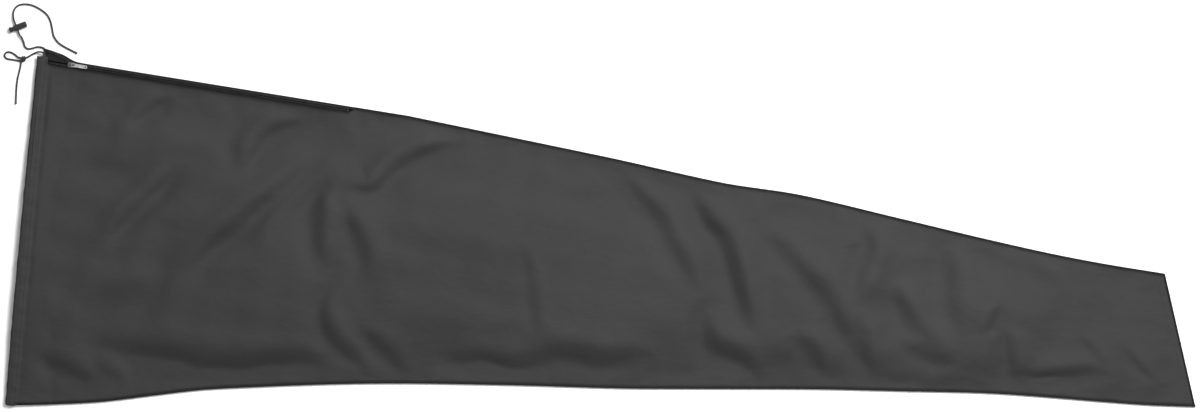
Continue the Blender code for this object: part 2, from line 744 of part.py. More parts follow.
def coil_row(name, side, material, parent):
    start = TOP_STOP_AT + STOP_LENGTH / 2 + 2 * GAP
    end = BOTTOM_STOP_AT - STOP_LENGTH / 2 - GAP
    distance = np.concatenate([np.linspace(start, COIL_PARTING_FROM, 9), COIL_PARTING_PLACES, [end]])
    centres = np.column_stack(
        [from_mouth(distance, coil_centre(distance, side)), np.full_like(distance, COIL_MIDDLE)]
    )
    ways = np.gradient(centres[:, :2], axis=0)
    ways /= np.linalg.norm(ways, axis=1, keepdims=True)
    sides = np.column_stack([ways[:, 1], -ways[:, 0], np.zeros(len(ways))])
    ups = [np.array([0.0, 0.0, 1.0])] * len(ways)
    profile = chamfered_box(-COIL_WIDTH / 2, COIL_WIDTH / 2, COIL_HEIGHT / 2, COIL_CHAMFER)
    return swept(name, (profile,), centres, sides, ups, material, parent)


def at_zip(distance, across, height, turn=0.0):
    """Where a piece built along its own X axis stands on the zip."""
    plan = from_mouth(distance, across)
    place = Matrix.Translation((float(plan[0]), float(plan[1]), height))
    return place @ Matrix.Rotation(ZIP_ANGLE, 4, "Z") @ Matrix.Rotation(turn, 4, "Y")


def zip_stops(material, parent):
    half = STOP_LENGTH / 2
    low = TAPE_TOP + GAP
    high = COIL_MIDDLE + COIL_HEIGHT / 2 + GAP
    for name, side in (("front_top_stop", 1), ("back_top_stop", -1)):
        stop = block(
            name,
            (-half, -COIL_WIDTH / 2 - GAP, low - ZIP_HEIGHT),
            (half, COIL_WIDTH / 2 + GAP, high - ZIP_HEIGHT),
            material,
            parent,
            STOP_CHAMFER,
        )
        across = float(coil_centre(np.array(TOP_STOP_AT), side))
        stop.matrix_local = at_zip(TOP_STOP_AT, across, ZIP_HEIGHT)
    wide = COIL_FROM_CENTRE + COIL_WIDTH + GAP
    stop = block(
        "zip_bottom_stop",
        (-half, -wide, low - ZIP_HEIGHT),
        (half, wide, high - ZIP_HEIGHT),
        material,
        parent,
        STOP_CHAMFER,
    )
    stop.matrix_local = at_zip(BOTTOM_STOP_AT, ZIP_INSET, ZIP_HEIGHT)


def plate_outline():
    """The slider's plates: full width at the nose, narrower at the tail, corners eased."""
    half, nose, tail = SLIDER_LENGTH / 2, SLIDER_WIDTH / 2, SLIDER_TAIL_WIDTH / 2
    return (
        (-half, -nose * PLATE_NOSE_SHARE),
        (-half + PLATE_CHAMFER, -nose),
        (0.0, -nose),
        (half - PLATE_TAIL_CHAMFER, -tail),
        (half, -tail + PLATE_TAIL_CHAMFER),
        (half, tail - PLATE_TAIL_CHAMFER),
        (half - PLATE_TAIL_CHAMFER, tail),
        (0.0, nose),
        (-half + PLATE_CHAMFER, nose),
        (-half, nose * PLATE_NOSE_SHARE),
    )


def zip_slider(material, slide):
    """Two plates joined by the wedge that parts the coils, with flanges round the closed coils and a bridge
    on top. Its own origin is on the zip's middle line at the tape's height; X runs away from the mouth."""
    half = SLIDER_LENGTH / 2
    under_plate = (TAPE_UNDER - GAP - SLIDER_PLATE - ZIP_HEIGHT, TAPE_UNDER - GAP - ZIP_HEIGHT)
    coil_top = COIL_MIDDLE + COIL_HEIGHT / 2 - ZIP_HEIGHT
    plate_low = coil_top + GAP + PLATE_OVER_COIL
    top_plate = (plate_low, plate_low + SLIDER_PLATE)
    flange_low = TAPE_TOP + GAP - ZIP_HEIGHT
    body = extruded("zip_slider_body", plate_outline(), *top_plate, material, slide)
    lower = extruded("slider_lower_plate", plate_outline(), *under_plate, material, slide)
    join_on(body, lower, "lower plate")
    wedge_front = -half + WEDGE_SETBACK
    wedge_shape = (
        (wedge_front, -WEDGE_WIDTH / 2),
        (wedge_front + WEDGE_LENGTH, -WEDGE_WIDTH / 12),
        (wedge_front + WEDGE_LENGTH, WEDGE_WIDTH / 12),
        (wedge_front, WEDGE_WIDTH / 2),
    )
    wedge_low, wedge_high = under_plate[0] + WEDGE_SUNK, top_plate[1] - WEDGE_SUNK
    wedge = extruded("slider_wedge", wedge_shape, wedge_low, wedge_high, material, slide)
    join_on(body, wedge, "wedge")
    for side in (-1, 1):
        inside = side * (COIL_FROM_CENTRE + COIL_WIDTH + GAP)
        outside = inside + side * SLIDER_FLANGE
        low, high = sorted((inside, outside))
        flange = block(
            "slider_flange_" + ("back" if side > 0 else "front"),
            (half - FLANGE_SETBACK - FLANGE_LENGTH, low, flange_low),
            (half - FLANGE_SETBACK, high, top_plate[1] - FLANGE_SUNK),
            material,
            slide,
        )
        join_on(body, flange, "flange")
    top = top_plate[1]
    bridge = extruded(
        "slider_bridge",
        (
            (-BRIDGE_LENGTH / 2, -BRIDGE_SUNK),
            (-BRIDGE_LENGTH / 2 + BRIDGE_BAR, -BRIDGE_SUNK),
            (-BRIDGE_LENGTH / 2 + BRIDGE_BAR, BRIDGE_INSIDE - BRIDGE_INNER_CHAMFER),
            (-BRIDGE_LENGTH / 2 + BRIDGE_BAR + BRIDGE_INNER_CHAMFER, BRIDGE_INSIDE),
            (BRIDGE_LENGTH / 2 - BRIDGE_BAR - BRIDGE_INNER_CHAMFER, BRIDGE_INSIDE),
            (BRIDGE_LENGTH / 2 - BRIDGE_BAR, BRIDGE_INSIDE - BRIDGE_INNER_CHAMFER),
            (BRIDGE_LENGTH / 2 - BRIDGE_BAR, -BRIDGE_SUNK),
            (BRIDGE_LENGTH / 2, -BRIDGE_SUNK),
            (BRIDGE_LENGTH / 2, BRIDGE_INSIDE - BRIDGE_SUNK),
            (BRIDGE_LENGTH / 2 - BRIDGE_SHOULDER, BRIDGE_INSIDE + BRIDGE_BAR),
            (-BRIDGE_LENGTH / 2 + BRIDGE_SHOULDER, BRIDGE_INSIDE + BRIDGE_BAR),
            (-BRIDGE_LENGTH / 2, BRIDGE_INSIDE - BRIDGE_SUNK),
        ),
        -BRIDGE_WIDTH / 2,
        BRIDGE_WIDTH / 2,
        material,
        slide,
    )
    bridge.data.transform(Matrix.Translation((0, 0, top)) @ Matrix.Rotation(math.pi / 2, 4, "X"))
    join_on(body, bridge, "bridge")
    return top


def zip_pull(material, pivot):
    """Flat pull from its crossbar, which lies along its own Y axis at the origin, to its rounded tip at +X."""
    half, thick = PULL_WIDTH / 2, PULL_THICKNESS / 2
    turns = np.radians(np.linspace(0, 180, 9))
    tip = [(PULL_LENGTH - half + half * math.sin(a), half * math.cos(a)) for a in turns]
    outline = [(-thick, -half + PULL_CHAMFER), (-thick, half - PULL_CHAMFER), (-thick + PULL_CHAMFER, half)]
    outline += tip + [(-thick + PULL_CHAMFER, -half)]
    body = extruded("zip_pull", outline, -thick, thick, material, pivot)
    window = block(
        "pull_window",
        (thick, -PULL_WINDOW_WIDTH / 2, -CUT_HALF_DEPTH),
        (thick + PULL_WINDOW_LENGTH, PULL_WINDOW_WIDTH / 2, CUT_HALF_DEPTH),
        material,
        pivot,
    )
    cut_away(body, window, "window")
    eye = cylinder("pull_eye", PULL_EYE_DIAMETER, 2 * CUT_HALF_DEPTH, material, pivot, 16)
    eye.location = (PULL_LENGTH - PULL_EYE_DIAMETER * 1.2, 0, 0)
    eye.rotation_euler = (0, math.pi / 2, 0)
    cut_away(body, eye, "eye")
    return body


def cord_lock(materials, slide):
    """Spring cord lock. The slide's X axis is the lock's own; the cord's hole runs along its Y axis."""
    length = LOCK_OPEN_END + LOCK_CLOSED_END
    shell = cylinder("cord_lock_barrel", LOCK_DIAMETER, length, materials["lock"], slide, 32, LOCK_EASE)
    shell.location = ((LOCK_CLOSED_END - LOCK_OPEN_END) / 2, 0, 0)
    bore_end = LOCK_CLOSED_END - LOCK_END_WALL
    bore_start = -LOCK_OPEN_END - LOCK_CUT_PAST
    bore_width = PLUNGER_DIAMETER + 2 * GAP
    bore = cylinder("lock_bore", bore_width, bore_end - bore_start, materials["lock"], slide)
    bore.location = ((bore_end + bore_start) / 2, 0, 0)
    cut_away(shell, bore, "bore")
    hole_width = CORD_DIAMETER + 2 * GAP
    hole = cylinder("lock_cord_hole", hole_width, LOCK_DIAMETER * 1.4, materials["lock"], slide, 20)
    hole.rotation_euler = (0, 0, math.pi / 2)
    cut_away(shell, hole, "cord hole")

    press = empty("cord_lock_press", (0, 0, 0), slide)
    stem_start = -LOCK_OPEN_END - LOCK_TRAVEL - GAP
    stem_low = stem_start - HEAD_OVERLAP
    stem = cylinder("cord_lock_plunger", PLUNGER_DIAMETER, PLUNGER_TIP - stem_low, materials["lock"], press)
    stem.data.transform(Matrix.Translation(((PLUNGER_TIP + stem_low) / 2, 0, 0)))
    head = cylinder("plunger_head", PLUNGER_HEAD_DIAMETER, PLUNGER_HEAD, materials["lock"], press, 32, LOCK_EASE)
    head.location = (stem_start - PLUNGER_HEAD / 2, 0, 0)
    join_on(stem, head, "head")
    low = -hole_width / 2 - LOCK_TRAVEL
    eye_mid = block(
        "plunger_eye_middle",
        (low + hole_width / 2, -LOCK_DIAMETER, -hole_width / 2),
        (0, LOCK_DIAMETER, hole_width / 2),
        materials["lock"],
        press,
    )
    cut_away(stem, eye_mid, "eye middle")
    for name, place in (("plunger_eye_out", low + hole_width / 2), ("plunger_eye_in", 0.0)):
        end = cylinder(name, hole_width, 2 * LOCK_DIAMETER, materials["lock"], press, 20)
        end.location = (place, 0, 0)
        end.rotation_euler = (0, 0, math.pi / 2)
        cut_away(stem, end, "eye end")

    start = PLUNGER_TIP + GAP + SPRING_WIRE / 2
    end = bore_end - GAP - SPRING_WIRE / 2
    turn = np.linspace(0, SPRING_TURNS * 2 * math.pi, SPRING_TURNS * SPRING_POINTS_PER_TURN + 1)
    radius = (SPRING_DIAMETER - SPRING_WIRE) / 2
    along = np.linspace(start, end, len(turn))
    helix = np.column_stack([along, radius * np.cos(turn), radius * np.sin(turn)])
    spring = tube("cord_lock_spring", helix, SPRING_WIRE, materials["steel"], slide)
    spring.data.bevel_resolution = 1


def straighten_in_lock(points):
    """The lock cord's route with its stretch through the lock made straight, so that the lock can slide."""
    centre = np.array([*LOCK_PLACE, LOCK_RADIUS])
    way = np.array([-math.sin(LOCK_ANGLE), math.cos(LOCK_ANGLE), 0.0])
    along = (points - centre) @ way
    apart = np.linalg.norm(points - centre - along[:, None] * way, axis=1)
    inside = (np.abs(along) < LOCK_STRAIGHT_HALF) & (apart < CORD_DIAMETER)
    fixed = points.copy()
    fixed[inside] = centre + along[inside, None] * way
    return fixed


def tip(name, points, material, parent):
    """The sealed end of a cord, past the last two points of its route."""
    way = points[-1] - points[-2]
    way /= np.linalg.norm(way)
    start = points[-1] + way * GAP
    lift = np.array([0, 0, TIP_DIAMETER / 2 - CORD_DIAMETER / 2])
    return tube(name, [start + lift, start + lift + way * TIP_LENGTH], TIP_DIAMETER, material, parent)


def knot(material, parent):
    """Body of the slipped knot: a round lump resting on the ground."""
    made = bmesh.new()
    bmesh.ops.create_uvsphere(made, u_segments=20, v_segments=12, radius=0.5)
    bmesh.ops.scale(made, vec=KNOT_SIZE, verts=made.verts)
    bmesh.ops.rotate(made, cent=(0, 0, 0), matrix=Matrix.Rotation(math.radians(20), 3, "Z"), verts=made.verts)
    mesh = bpy.data.meshes.new("bow_knot")
    made.to_mesh(mesh)
    made.free()
    mesh.materials.append(material)
    mesh.shade_smooth()
    obj = bpy.data.objects.new("bow_knot", mesh)
    obj.parent = parent
    obj.location = (*KNOT_PLACE, KNOT_SIZE[2] / 2)
    bpy.context.scene.collection.objects.link(obj)


def free_cords(material, sealed, parent):
    lock_cord = straighten_in_lock(route(LOCK_CORD_ROUTE))
    tube("lock_cord", lock_cord, CORD_DIAMETER, material, parent)
    tip("lock_cord_tip", lock_cord, sealed, parent)
    tube("bow_cord", route(BOW_CORD_ROUTE), CORD_DIAMETER, material, parent)
    tube("bow_loop", route(BOW_LOOP_ROUTE), CORD_DIAMETER, material, parent)
    tail = route(BOW_TAIL_ROUTE)
    tube("bow_tail", tail, CORD_DIAMETER, material, parent)
    tip("bow_cord_tip", tail, sealed, parent)
    knot(material, parent)


def put_origin_under_middle(cover, cord_names):
    """Moves the whole cover so that its box, without the free cords, stands centred on the origin."""
    bpy.context.view_layer.update()
    graph = bpy.context.evaluated_depsgraph_get()
    corners = []
    for obj in bpy.data.objects:
        if obj.type == "EMPTY" or obj.hide_render or obj.name.startswith(cord_names):
            continue
        shape = obj.evaluated_get(graph)
        mesh = shape.to_mesh()
        points = np.empty(len(mesh.vertices) * 3, np.float32)
        mesh.vertices.foreach_get("co", points)
        shape.to_mesh_clear()
        world = np.array(obj.matrix_world)
        placed = points.reshape(-1, 3) @ world[:3, :3].T + world[:3, 3]
        corners += [placed.min(axis=0), placed.max(axis=0)]
    low = np.min(corners, axis=0)
    high = np.max(corners, axis=0)
    cover.location = Vector((-(low[0] + high[0]) / 2, -(low[1] + high[1]) / 2, -low[2]))


def main():
    for obj in list(bpy.data.objects):
        bpy.data.objects.remove(obj, do_unlink=True)
    materials = {
        "front": principled("front fabric", (0.055, 0.055, 0.056), 0.75),
        "back": principled("back fabric", (0.048, 0.048, 0.050), 0.78),
        "hem": principled("hem fabric", (0.050, 0.050, 0.052), 0.75),
        "binding": principled("seam binding", (0.020, 0.020, 0.021), 0.8),
        "tape": principled("zip tape", (0.008, 0.008, 0.009), 0.8),
        "coil": principled("zip coil", (0.010, 0.010, 0.011), 0.4),
        "stop": principled("zip stops", (0.02, 0.02, 0.02), 0.45, 0.6),
        "slider": principled("slider enamel", (0.10, 0.10, 0.105), 0.4, 0.8),
        "pull": principled("nickel pull", (0.55, 0.55, 0.55), 0.3, 1.0),
        "cord": principled("braided cord", (0.045, 0.045, 0.046), 0.85),
        "sealed": principled("sealed cord end", (0.02, 0.02, 0.02), 0.5),
        "lock": principled("black nylon", (0.008, 0.008, 0.009), 0.4),
        "steel": principled("spring steel", (0.5, 0.5, 0.5), 0.3, 1.0),
    }
    cover = empty("cover")
    front_panel(materials["front"], cover)
    back_panel(materials["back"], cover)
    hem("front_hem", True, materials["hem"], cover)
    hem("back_hem", False, materials["hem"], cover)
    hem_drawcord(materials["cord"], cover)
    seams(materials["binding"], cover)
    zip_tapes(materials["tape"], cover)
    coil_row("front_zip_coil", 1, materials["coil"], cover)
    coil_row("back_zip_coil", -1, materials["coil"], cover)
    zip_stops(materials["stop"], cover)

    slide = empty("zip_slide", parent=cover)
    slide.matrix_local = at_zip(SLIDER_AT, ZIP_INSET, ZIP_HEIGHT)
    top = zip_slider(materials["slider"], slide)
    pivot = empty("pull_pivot", parent=slide)
    pivot.matrix_local = Matrix.Translation((PIVOT_ALONG, 0, top + PIVOT_HEIGHT)) @ Matrix.Rotation(
        PULL_TILT, 4, "Y"
    )
    zip_pull(materials["pull"], pivot)

    lock_slide = empty("cord_lock_slide", parent=cover)
    lock_place = Matrix.Translation((*LOCK_PLACE, LOCK_RADIUS))
    lock_slide.matrix_local = lock_place @ Matrix.Rotation(LOCK_ANGLE, 4, "Z")
    cord_lock(materials, lock_slide)
    free_cords(materials["cord"], materials["sealed"], cover)
    put_origin_under_middle(cover, ("lock_cord", "bow_", "cord_lock"))


main()
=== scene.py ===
"""Looks of the zipped parasol cover: cloth, hems, piping, zip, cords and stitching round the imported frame."""

import math

import bmesh
import bpy
import numpy as np
from bpy.props import FloatProperty, FloatVectorProperty, IntProperty, PointerProperty
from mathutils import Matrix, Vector
from mathutils.bvhtree import BVHTree


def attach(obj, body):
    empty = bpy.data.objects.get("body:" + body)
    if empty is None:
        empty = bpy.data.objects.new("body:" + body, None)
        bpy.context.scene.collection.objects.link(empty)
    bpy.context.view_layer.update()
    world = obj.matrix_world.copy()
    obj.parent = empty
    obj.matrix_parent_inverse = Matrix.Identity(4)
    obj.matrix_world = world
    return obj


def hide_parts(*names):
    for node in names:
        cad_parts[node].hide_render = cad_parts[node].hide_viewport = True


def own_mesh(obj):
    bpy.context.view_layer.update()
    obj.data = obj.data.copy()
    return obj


bl_info = {
    "name": "Zipped Parasol Cover",
    "version": (1, 0, 0),
    "blender": (4, 5, 0),
    "location": "View3D > Sidebar > Parasol Cover",
    "description": "Builds the looks of a tapered fabric cover lying flat, round its packed frame",
    "category": "Object",
}

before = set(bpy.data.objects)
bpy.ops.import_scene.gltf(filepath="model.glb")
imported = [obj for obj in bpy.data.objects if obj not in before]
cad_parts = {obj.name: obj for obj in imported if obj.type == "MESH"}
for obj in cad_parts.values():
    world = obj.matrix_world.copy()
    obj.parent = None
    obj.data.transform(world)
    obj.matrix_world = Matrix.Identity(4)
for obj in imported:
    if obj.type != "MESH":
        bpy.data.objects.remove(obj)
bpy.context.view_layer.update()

# Outline of the flat cover in metres, from the near corner of its mouth.
CORNER = np.array([-0.977414, -0.292025])
LENGTH = 1.955
MOUTH_WIDTH = 0.5768
END_WIDTH = 0.225
END_DROP = 0.0026
MOUTH_LEAN = math.radians(5.26)
END_LEAN = math.radians(12.9)
ZIP_EDGE_BOW = math.radians(1.75)
STRAIGHT_EDGE = 0.6169
NEAR_EDGE_BOW = (
    (0.0, 0.0), (0.045, 0.0020), (0.08, 0.0059), (0.122, 0.0158), (0.164, 0.0255), (0.21, 0.0305),
    (0.33, 0.0368), (0.42, 0.0344), (0.54, 0.0287), (0.67, 0.0284), (0.75, 0.0253), (0.835, 0.0210),
    (0.88, 0.0148), (0.92, 0.0085), (0.96, 0.0029), (1.0, 0.0),
)
ZIP_EDGE_WAVE = (
    (0.0, 0.0), (0.25, 0.0004), (0.41, -0.0022), (0.52, 0.0044), (0.65, 0.0), (0.78, -0.0047),
    (0.85, -0.0059), (0.92, -0.0045), (1.0, 0.0),
)
FRONT_HEIGHT = ((0.0, 0.0180), (0.3, 0.0192), (0.6, 0.0178), (0.85, 0.0145), (1.0, 0.0120))

# Hem, cord, thread and sewn edges.
HEM_HALF = 0.0026
HEM_LAP = 0.0004
HEM_TURN_RADIUS = 0.0036
HEM_UPPER_LEG = HEM_HALF + 2 * HEM_TURN_RADIUS
HEM_ZIP_END_HEIGHT = 0.0083
CORD_DIAMETER = 0.003
THREAD_RADIUS = 0.00028
# Painted shade along the sewn edges and the hem's fold: the share of the cloth's colour left at the very edge.
EDGE_PAINTED_SHADE = 0.25
PIPING_RADIUS = 0.0018
PIPING_HEIGHT = 0.0036

# Zip. Distances along it are from the mouth, distances across it from the cover's edge.
ZIP_INSET = 0.0061
ZIP_HEIGHT = 0.0060
COIL_HEIGHT = 0.0075
COIL_START = 0.0192
COIL_END = 0.5149
ZIP_END = 0.5169
TAPE_START = 0.0095
TAPE_END = 0.5279
TAPE_FROM_CENTRE = 0.0015
COIL_FROM_CENTRE = 0.0017
ZIP_FLARE = (
    (0.0, 0.0155), (0.0092, 0.0143), (0.030, 0.0108), (0.043, 0.0080), (0.052, 0.0044),
    (0.060, 0.0016), (0.072, 0.0002), (0.090, 0.0),
)
BACK_COIL_FLARE = (
    (0.0, 0.0150), (0.0095, 0.0143), (0.030, 0.0106), (0.043, 0.0072), (0.0505, 0.0026),
    (0.0535, 0.0013), (0.0565, 0.0), (0.090, 0.0),
)
FRONT_COIL_FLARE = (
    (0.0, 0.0006), (0.030, 0.0008), (0.045, 0.0013), (0.0505, 0.0016), (0.0535, 0.0012),
    (0.0565, 0.0), (0.090, 0.0),
)
# How far the front cloth's edge stays in from the cover's edge: (distance from the mouth, metres).
FRONT_EDGE = (
    (0.0, 0.0004), (0.010, 0.0004), (0.0155, 0.0030), (0.0200, 0.0108), (0.024, 0.0113),
    (0.5170, 0.0113), (0.5290, 0.0028), (0.60, 0.0028),
)

# Folds in the front cloth: (points, depth, width), all in metres.
FOLDS = (
    (((0.282, 0.513), (0.238, 0.489), (0.194, 0.459)), 0.0026, 0.007),
    (((0.115, 0.395), (0.205, 0.398), (0.295, 0.411), (0.345, 0.461)), 0.0032, 0.018),
    (((0.295, 0.400), (0.246, 0.357), (0.205, 0.318), (0.156, 0.260)), 0.0040, 0.009),
    (((0.500, 0.474), (0.422, 0.441), (0.386, 0.375)), 0.0036, 0.009),
    (((0.528, 0.424), (0.443, 0.351), (0.361, 0.285), (0.274, 0.203)), 0.0052, 0.011),
    (((0.274, 0.203), (0.189, 0.182), (0.098, 0.170)), 0.0030, 0.016),
    (((0.542, 0.392), (0.471, 0.326), (0.410, 0.255)), 0.0028, 0.009),
    (((0.766, 0.436), (0.684, 0.416), (0.632, 0.387), (0.607, 0.359), (0.545, 0.362)), 0.0050, 0.009),
    (((0.545, 0.362), (0.525, 0.346), (0.517, 0.288), (0.517, 0.223)), 0.0034, 0.010),
    (((0.553, 0.337), (0.578, 0.288), (0.594, 0.239), (0.566, 0.198)), 0.0030, 0.010),
    (((0.545, 0.206), (0.525, 0.157), (0.542, 0.108), (0.583, 0.072), (0.599, 0.047)), 0.0030, 0.009),
    (((0.578, 0.132), (0.619, 0.099), (0.665, 0.042)), 0.0026, 0.009),
    (((0.098, 0.129), (0.189, 0.099), (0.279, 0.083),
      (0.361, 0.072), (0.525, 0.075), (0.578, 0.047)), 0.0062, 0.014),
    (((0.044, 0.091), (0.115, 0.055), (0.167, 0.026)), 0.0034, 0.010),
    (((0.139, 0.080), (0.205, 0.026)), 0.0026, 0.009),
    (((0.676, 0.072), (0.780, 0.080), (0.845, 0.072), (0.903, 0.088),
      (0.985, 0.080), (1.054, 0.080), (1.091, 0.050)), 0.0050, 0.012),
    (((0.848, 0.272), (0.862, 0.223), (0.870, 0.165), (0.878, 0.104)), 0.0013, 0.007),
    (((0.993, 0.395), (1.037, 0.351), (1.078, 0.305), (1.095, 0.272), (1.149, 0.173)), 0.0036, 0.011),
    (((1.124, 0.370), (1.149, 0.313), (1.182, 0.272), (1.201, 0.214), (1.231, 0.108)), 0.0050, 0.011),
    (((1.149, 0.173), (1.164, 0.104), (1.215, 0.075), (1.247, 0.040)), 0.0040, 0.011),
    (((1.215, 0.293), (1.272, 0.264), (1.313, 0.223), (1.354, 0.173),
      (1.379, 0.124), (1.407, 0.075), (1.431, 0.042)), 0.0040, 0.011),
    (((1.403, 0.305), (1.423, 0.264), (1.407, 0.214), (1.389, 0.165)), 0.0034, 0.010),
    (((1.403, 0.157), (1.412, 0.108), (1.423, 0.047)), 0.0030, 0.009),
    (((1.288, 0.124), (1.321, 0.099), (1.354, 0.039)), 0.0030, 0.009),
    (((1.453, 0.214), (1.472, 0.170), (1.502, 0.124), (1.535, 0.099), (1.563, 0.075)), 0.0042, 0.011),
    (((1.461, 0.108), (1.518, 0.083), (1.567, 0.067)), 0.0036, 0.008),
    (((1.526, 0.285), (1.551, 0.223), (1.559, 0.157), (1.563, 0.091)), 0.0040, 0.014),
    (((1.567, 0.269), (1.620, 0.244), (1.682, 0.228), (1.756, 0.190)), 0.0034, 0.012),
    (((1.632, 0.172), (1.618, 0.140), (1.604, 0.112)), 0.0020, 0.006),
    (((1.641, 0.132), (1.653, 0.083), (1.653, 0.042)), 0.0028, 0.009),
    (((1.666, 0.047), (1.743, 0.055), (1.801, 0.058), (1.825, 0.039)), 0.0032, 0.008),
    (((1.762, 0.118), (1.788, 0.088), (1.815, 0.062)), 0.0018, 0.006),
    (((1.832, 0.102), (1.862, 0.066), (1.895, 0.036)), 0.0016, 0.005),
)
# The side the light comes from, across the ground; a fold's steep side faces away from it.
LIGHT_SIDE = np.array([0.25, 0.97])
# A fold that runs towards the light is deepened, at most this many times, so that it still shows.
MOST_DEEPENED = 1.4
# How much wider every fold lies than its own width, and the heights of the swells between the folds.
FOLD_BREADTH = 1.3
SWELL_HEIGHT = 0.0013
SMALL_SWELL_HEIGHT = 0.0008
# Deeper stretches of the hem's stitched line: (distance from the near corner, half its length, depth).
HEM_DIPS = (
    (0.168, 0.012, 0.0008),
    (0.221, 0.024, 0.0010),
    (0.305, 0.048, 0.0009),
    (0.395, 0.026, 0.0011),
    (0.495, 0.056, 0.0014),
)

# The front cloth lies on the back one no lower than this, and comes down to it over about the ease.
LEAST_HEIGHT = 0.0024
CONTACT_EASE = 0.0010
# How the front cloth settles: the grid, the frames, the cloth's spare length, the most that a point moves
# and the share of its move that is kept.
SETTLING_COLUMNS = 230
SETTLING_ROWS = 66
SETTLING_FRAMES = 12
CLOTH_SLACK = 0.004
MOST_MOVE = 0.0026
SETTLED_SHARE = 0.9

# Dome of the front cloth: the shares of its width over which it rises from the near edge and from the zip's.
NEAR_RISE = 0.28
ZIP_RISE = 0.46
# Grid of the front cloth: where it starts and ends short, how many columns stand close and up to where, and
# how much the rows crowd towards the long edges.
FRONT_START = 0.0152
FRONT_END_GAP = 0.0031
FRONT_NEAR_GAP = 0.0028
CLOSE_COLUMNS = 56
CLOSE_COLUMNS_END = 0.075
ROW_CROWDING = 0.035
# Beside the zip the cloth stands higher, up to this distance, and comes down over the run-out.
FRONT_STEP_DOWN = 0.517
BACK_STEP_DOWN = 0.5155
RUN_OUT = 0.06
BESIDE_ZIP_HEIGHT = 0.0073
# The lip that the cloth forms along the zip, and how long a stretch of it stays low at the zip's end.
LIP_HEIGHT = 0.0036
LIP_REACH = 0.0078
LIP_LOW_STRETCH = 0.026
LIP_LOWERED = 0.95
# The back cloth: its height on the ground, the radius of its turn and the top of its wall beside the zip.
BACK_START = 0.0165
BACK_END_GAP = 0.0030
BACK_NEAR_GAP = 0.0016
BACK_LEVEL = 0.00075
BACK_TURN = 0.0013
BACK_WALL_TOP = 0.0054
BACK_WALL_GAP = 0.0006
BACK_OVER_LIP = 0.00255
# The gathered hem's puckers and its stitched groove, by their distance in from the mouth.
PUCKER_HEIGHT = 0.0007
PUCKER_PLACE = 0.0165
PUCKER_REACH = 0.0085
PUCKER_LENGTH = 0.047
GROOVE_DEPTH = 0.0006
GROOVE_PLACE = 0.0205
GROOVE_REACH = 0.0052
STITCH_FROM_MOUTH = 0.0166
STITCH_FROM_ZIP_EDGE = 0.0142

# The zip chain's tape and wire.
TAPE_THICKNESS = 0.00055
COIL_WIDE = 0.00128
COIL_HIGH = 0.00062
COIL_WIRE = 0.00031

# Stage: floor, key light, camera.
FLOOR_HALF = 14.0
FLOOR_LEVEL = -0.0002
KEY_PLACE = (1.0, 1.6, 3.1)
KEY_AIM = (0.15, 0, 0)
KEY_SIZE = 1.3
KEY_POWER = 200
WORLD_LIGHT = 0.52
CAMERA_LENS = 100
CAMERA_SENSOR = 36
VIEW_WIDTH = 1.9698
VIEW_MIDDLE = (-0.0009, 0.0356, 0.008)

# Free drawcord ends, as they lie on the ground.
LOCK_CORD_ROUTE = (
    (0.0630, 0.5712, 0.0026), (0.0644, 0.5765, 0.0024), (0.0650, 0.5820, 0.0019),
    (0.0624, 0.5868, 0.0018), (0.0570, 0.5887, 0.0018), (0.0510, 0.5888, 0.0018),
    (0.0430, 0.5866, 0.0018), (0.0360, 0.5860, 0.0018), (0.0316, 0.5892, 0.0019),
    (0.0297, 0.5965, 0.0028), (0.0265, 0.6042, 0.0044), (0.0226, 0.6100, 0.0050),
    (0.0185, 0.6207, 0.0050), (0.0144, 0.6314, 0.0050), (0.0129, 0.6378, 0.0040),
    (0.0124, 0.6445, 0.0024), (0.0150, 0.6520, 0.0018), (0.0210, 0.6573, 0.0018),
    (0.0300, 0.6592, 0.0018), (0.0400, 0.6584, 0.0018), (0.0500, 0.6546, 0.0018),
    (0.0600, 0.6486, 0.0018), (0.0685, 0.6410, 0.0018), (0.0735, 0.6310, 0.0018),
    (0.0762, 0.6190, 0.0018), (0.0790, 0.6065, 0.0018), (0.0850, 0.5975, 0.0018),
    (0.0950, 0.5900, 0.0018), (0.1060, 0.5842, 0.0018), (0.1135, 0.5804, 0.0018),
)
LOCK_PLACE = np.array([0.0185, 0.6207, 0.005])
LOCK_ANGLE = math.radians(21.0)
LOCK_STRAIGHT_HALF = 0.0115
# The lock's spring: its ends from the cord's hole along the lock.
SPRING_REACH = (0.0056, 0.0134)
SPRING_DIAMETER = 0.0052
SPRING_WIRE = 0.0006
SPRING_TURNS = 6
BOW_CORD_ROUTE = (
    (0.0622, 0.5616, 0.0084), (0.0642, 0.5670, 0.0086), (0.0655, 0.5722, 0.0086),
    (0.0640, 0.5774, 0.0084), (0.0596, 0.5802, 0.0077), (0.0540, 0.5806, 0.0060),
    (0.0480, 0.5788, 0.0036), (0.0410, 0.5752, 0.0020), (0.0345, 0.5716, 0.0024),
    (0.0290, 0.5707, 0.0034), (0.0240, 0.5712, 0.0034), (0.0200, 0.5722, 0.0026),
    (0.0170, 0.5750, 0.0020), (0.0120, 0.5784, 0.0018), (0.0055, 0.5808, 0.0018),
    (0.0002, 0.5796, 0.0018), (-0.0022, 0.5756, 0.0018), (-0.0006, 0.5712, 0.0018),
    (0.0050, 0.5690, 0.0018), (0.0120, 0.5680, 0.0018), (0.0190, 0.5668, 0.0019),
    (0.0250, 0.5656, 0.0018), (0.0292, 0.5656, 0.0018), (0.0315, 0.5670, 0.0018),
)
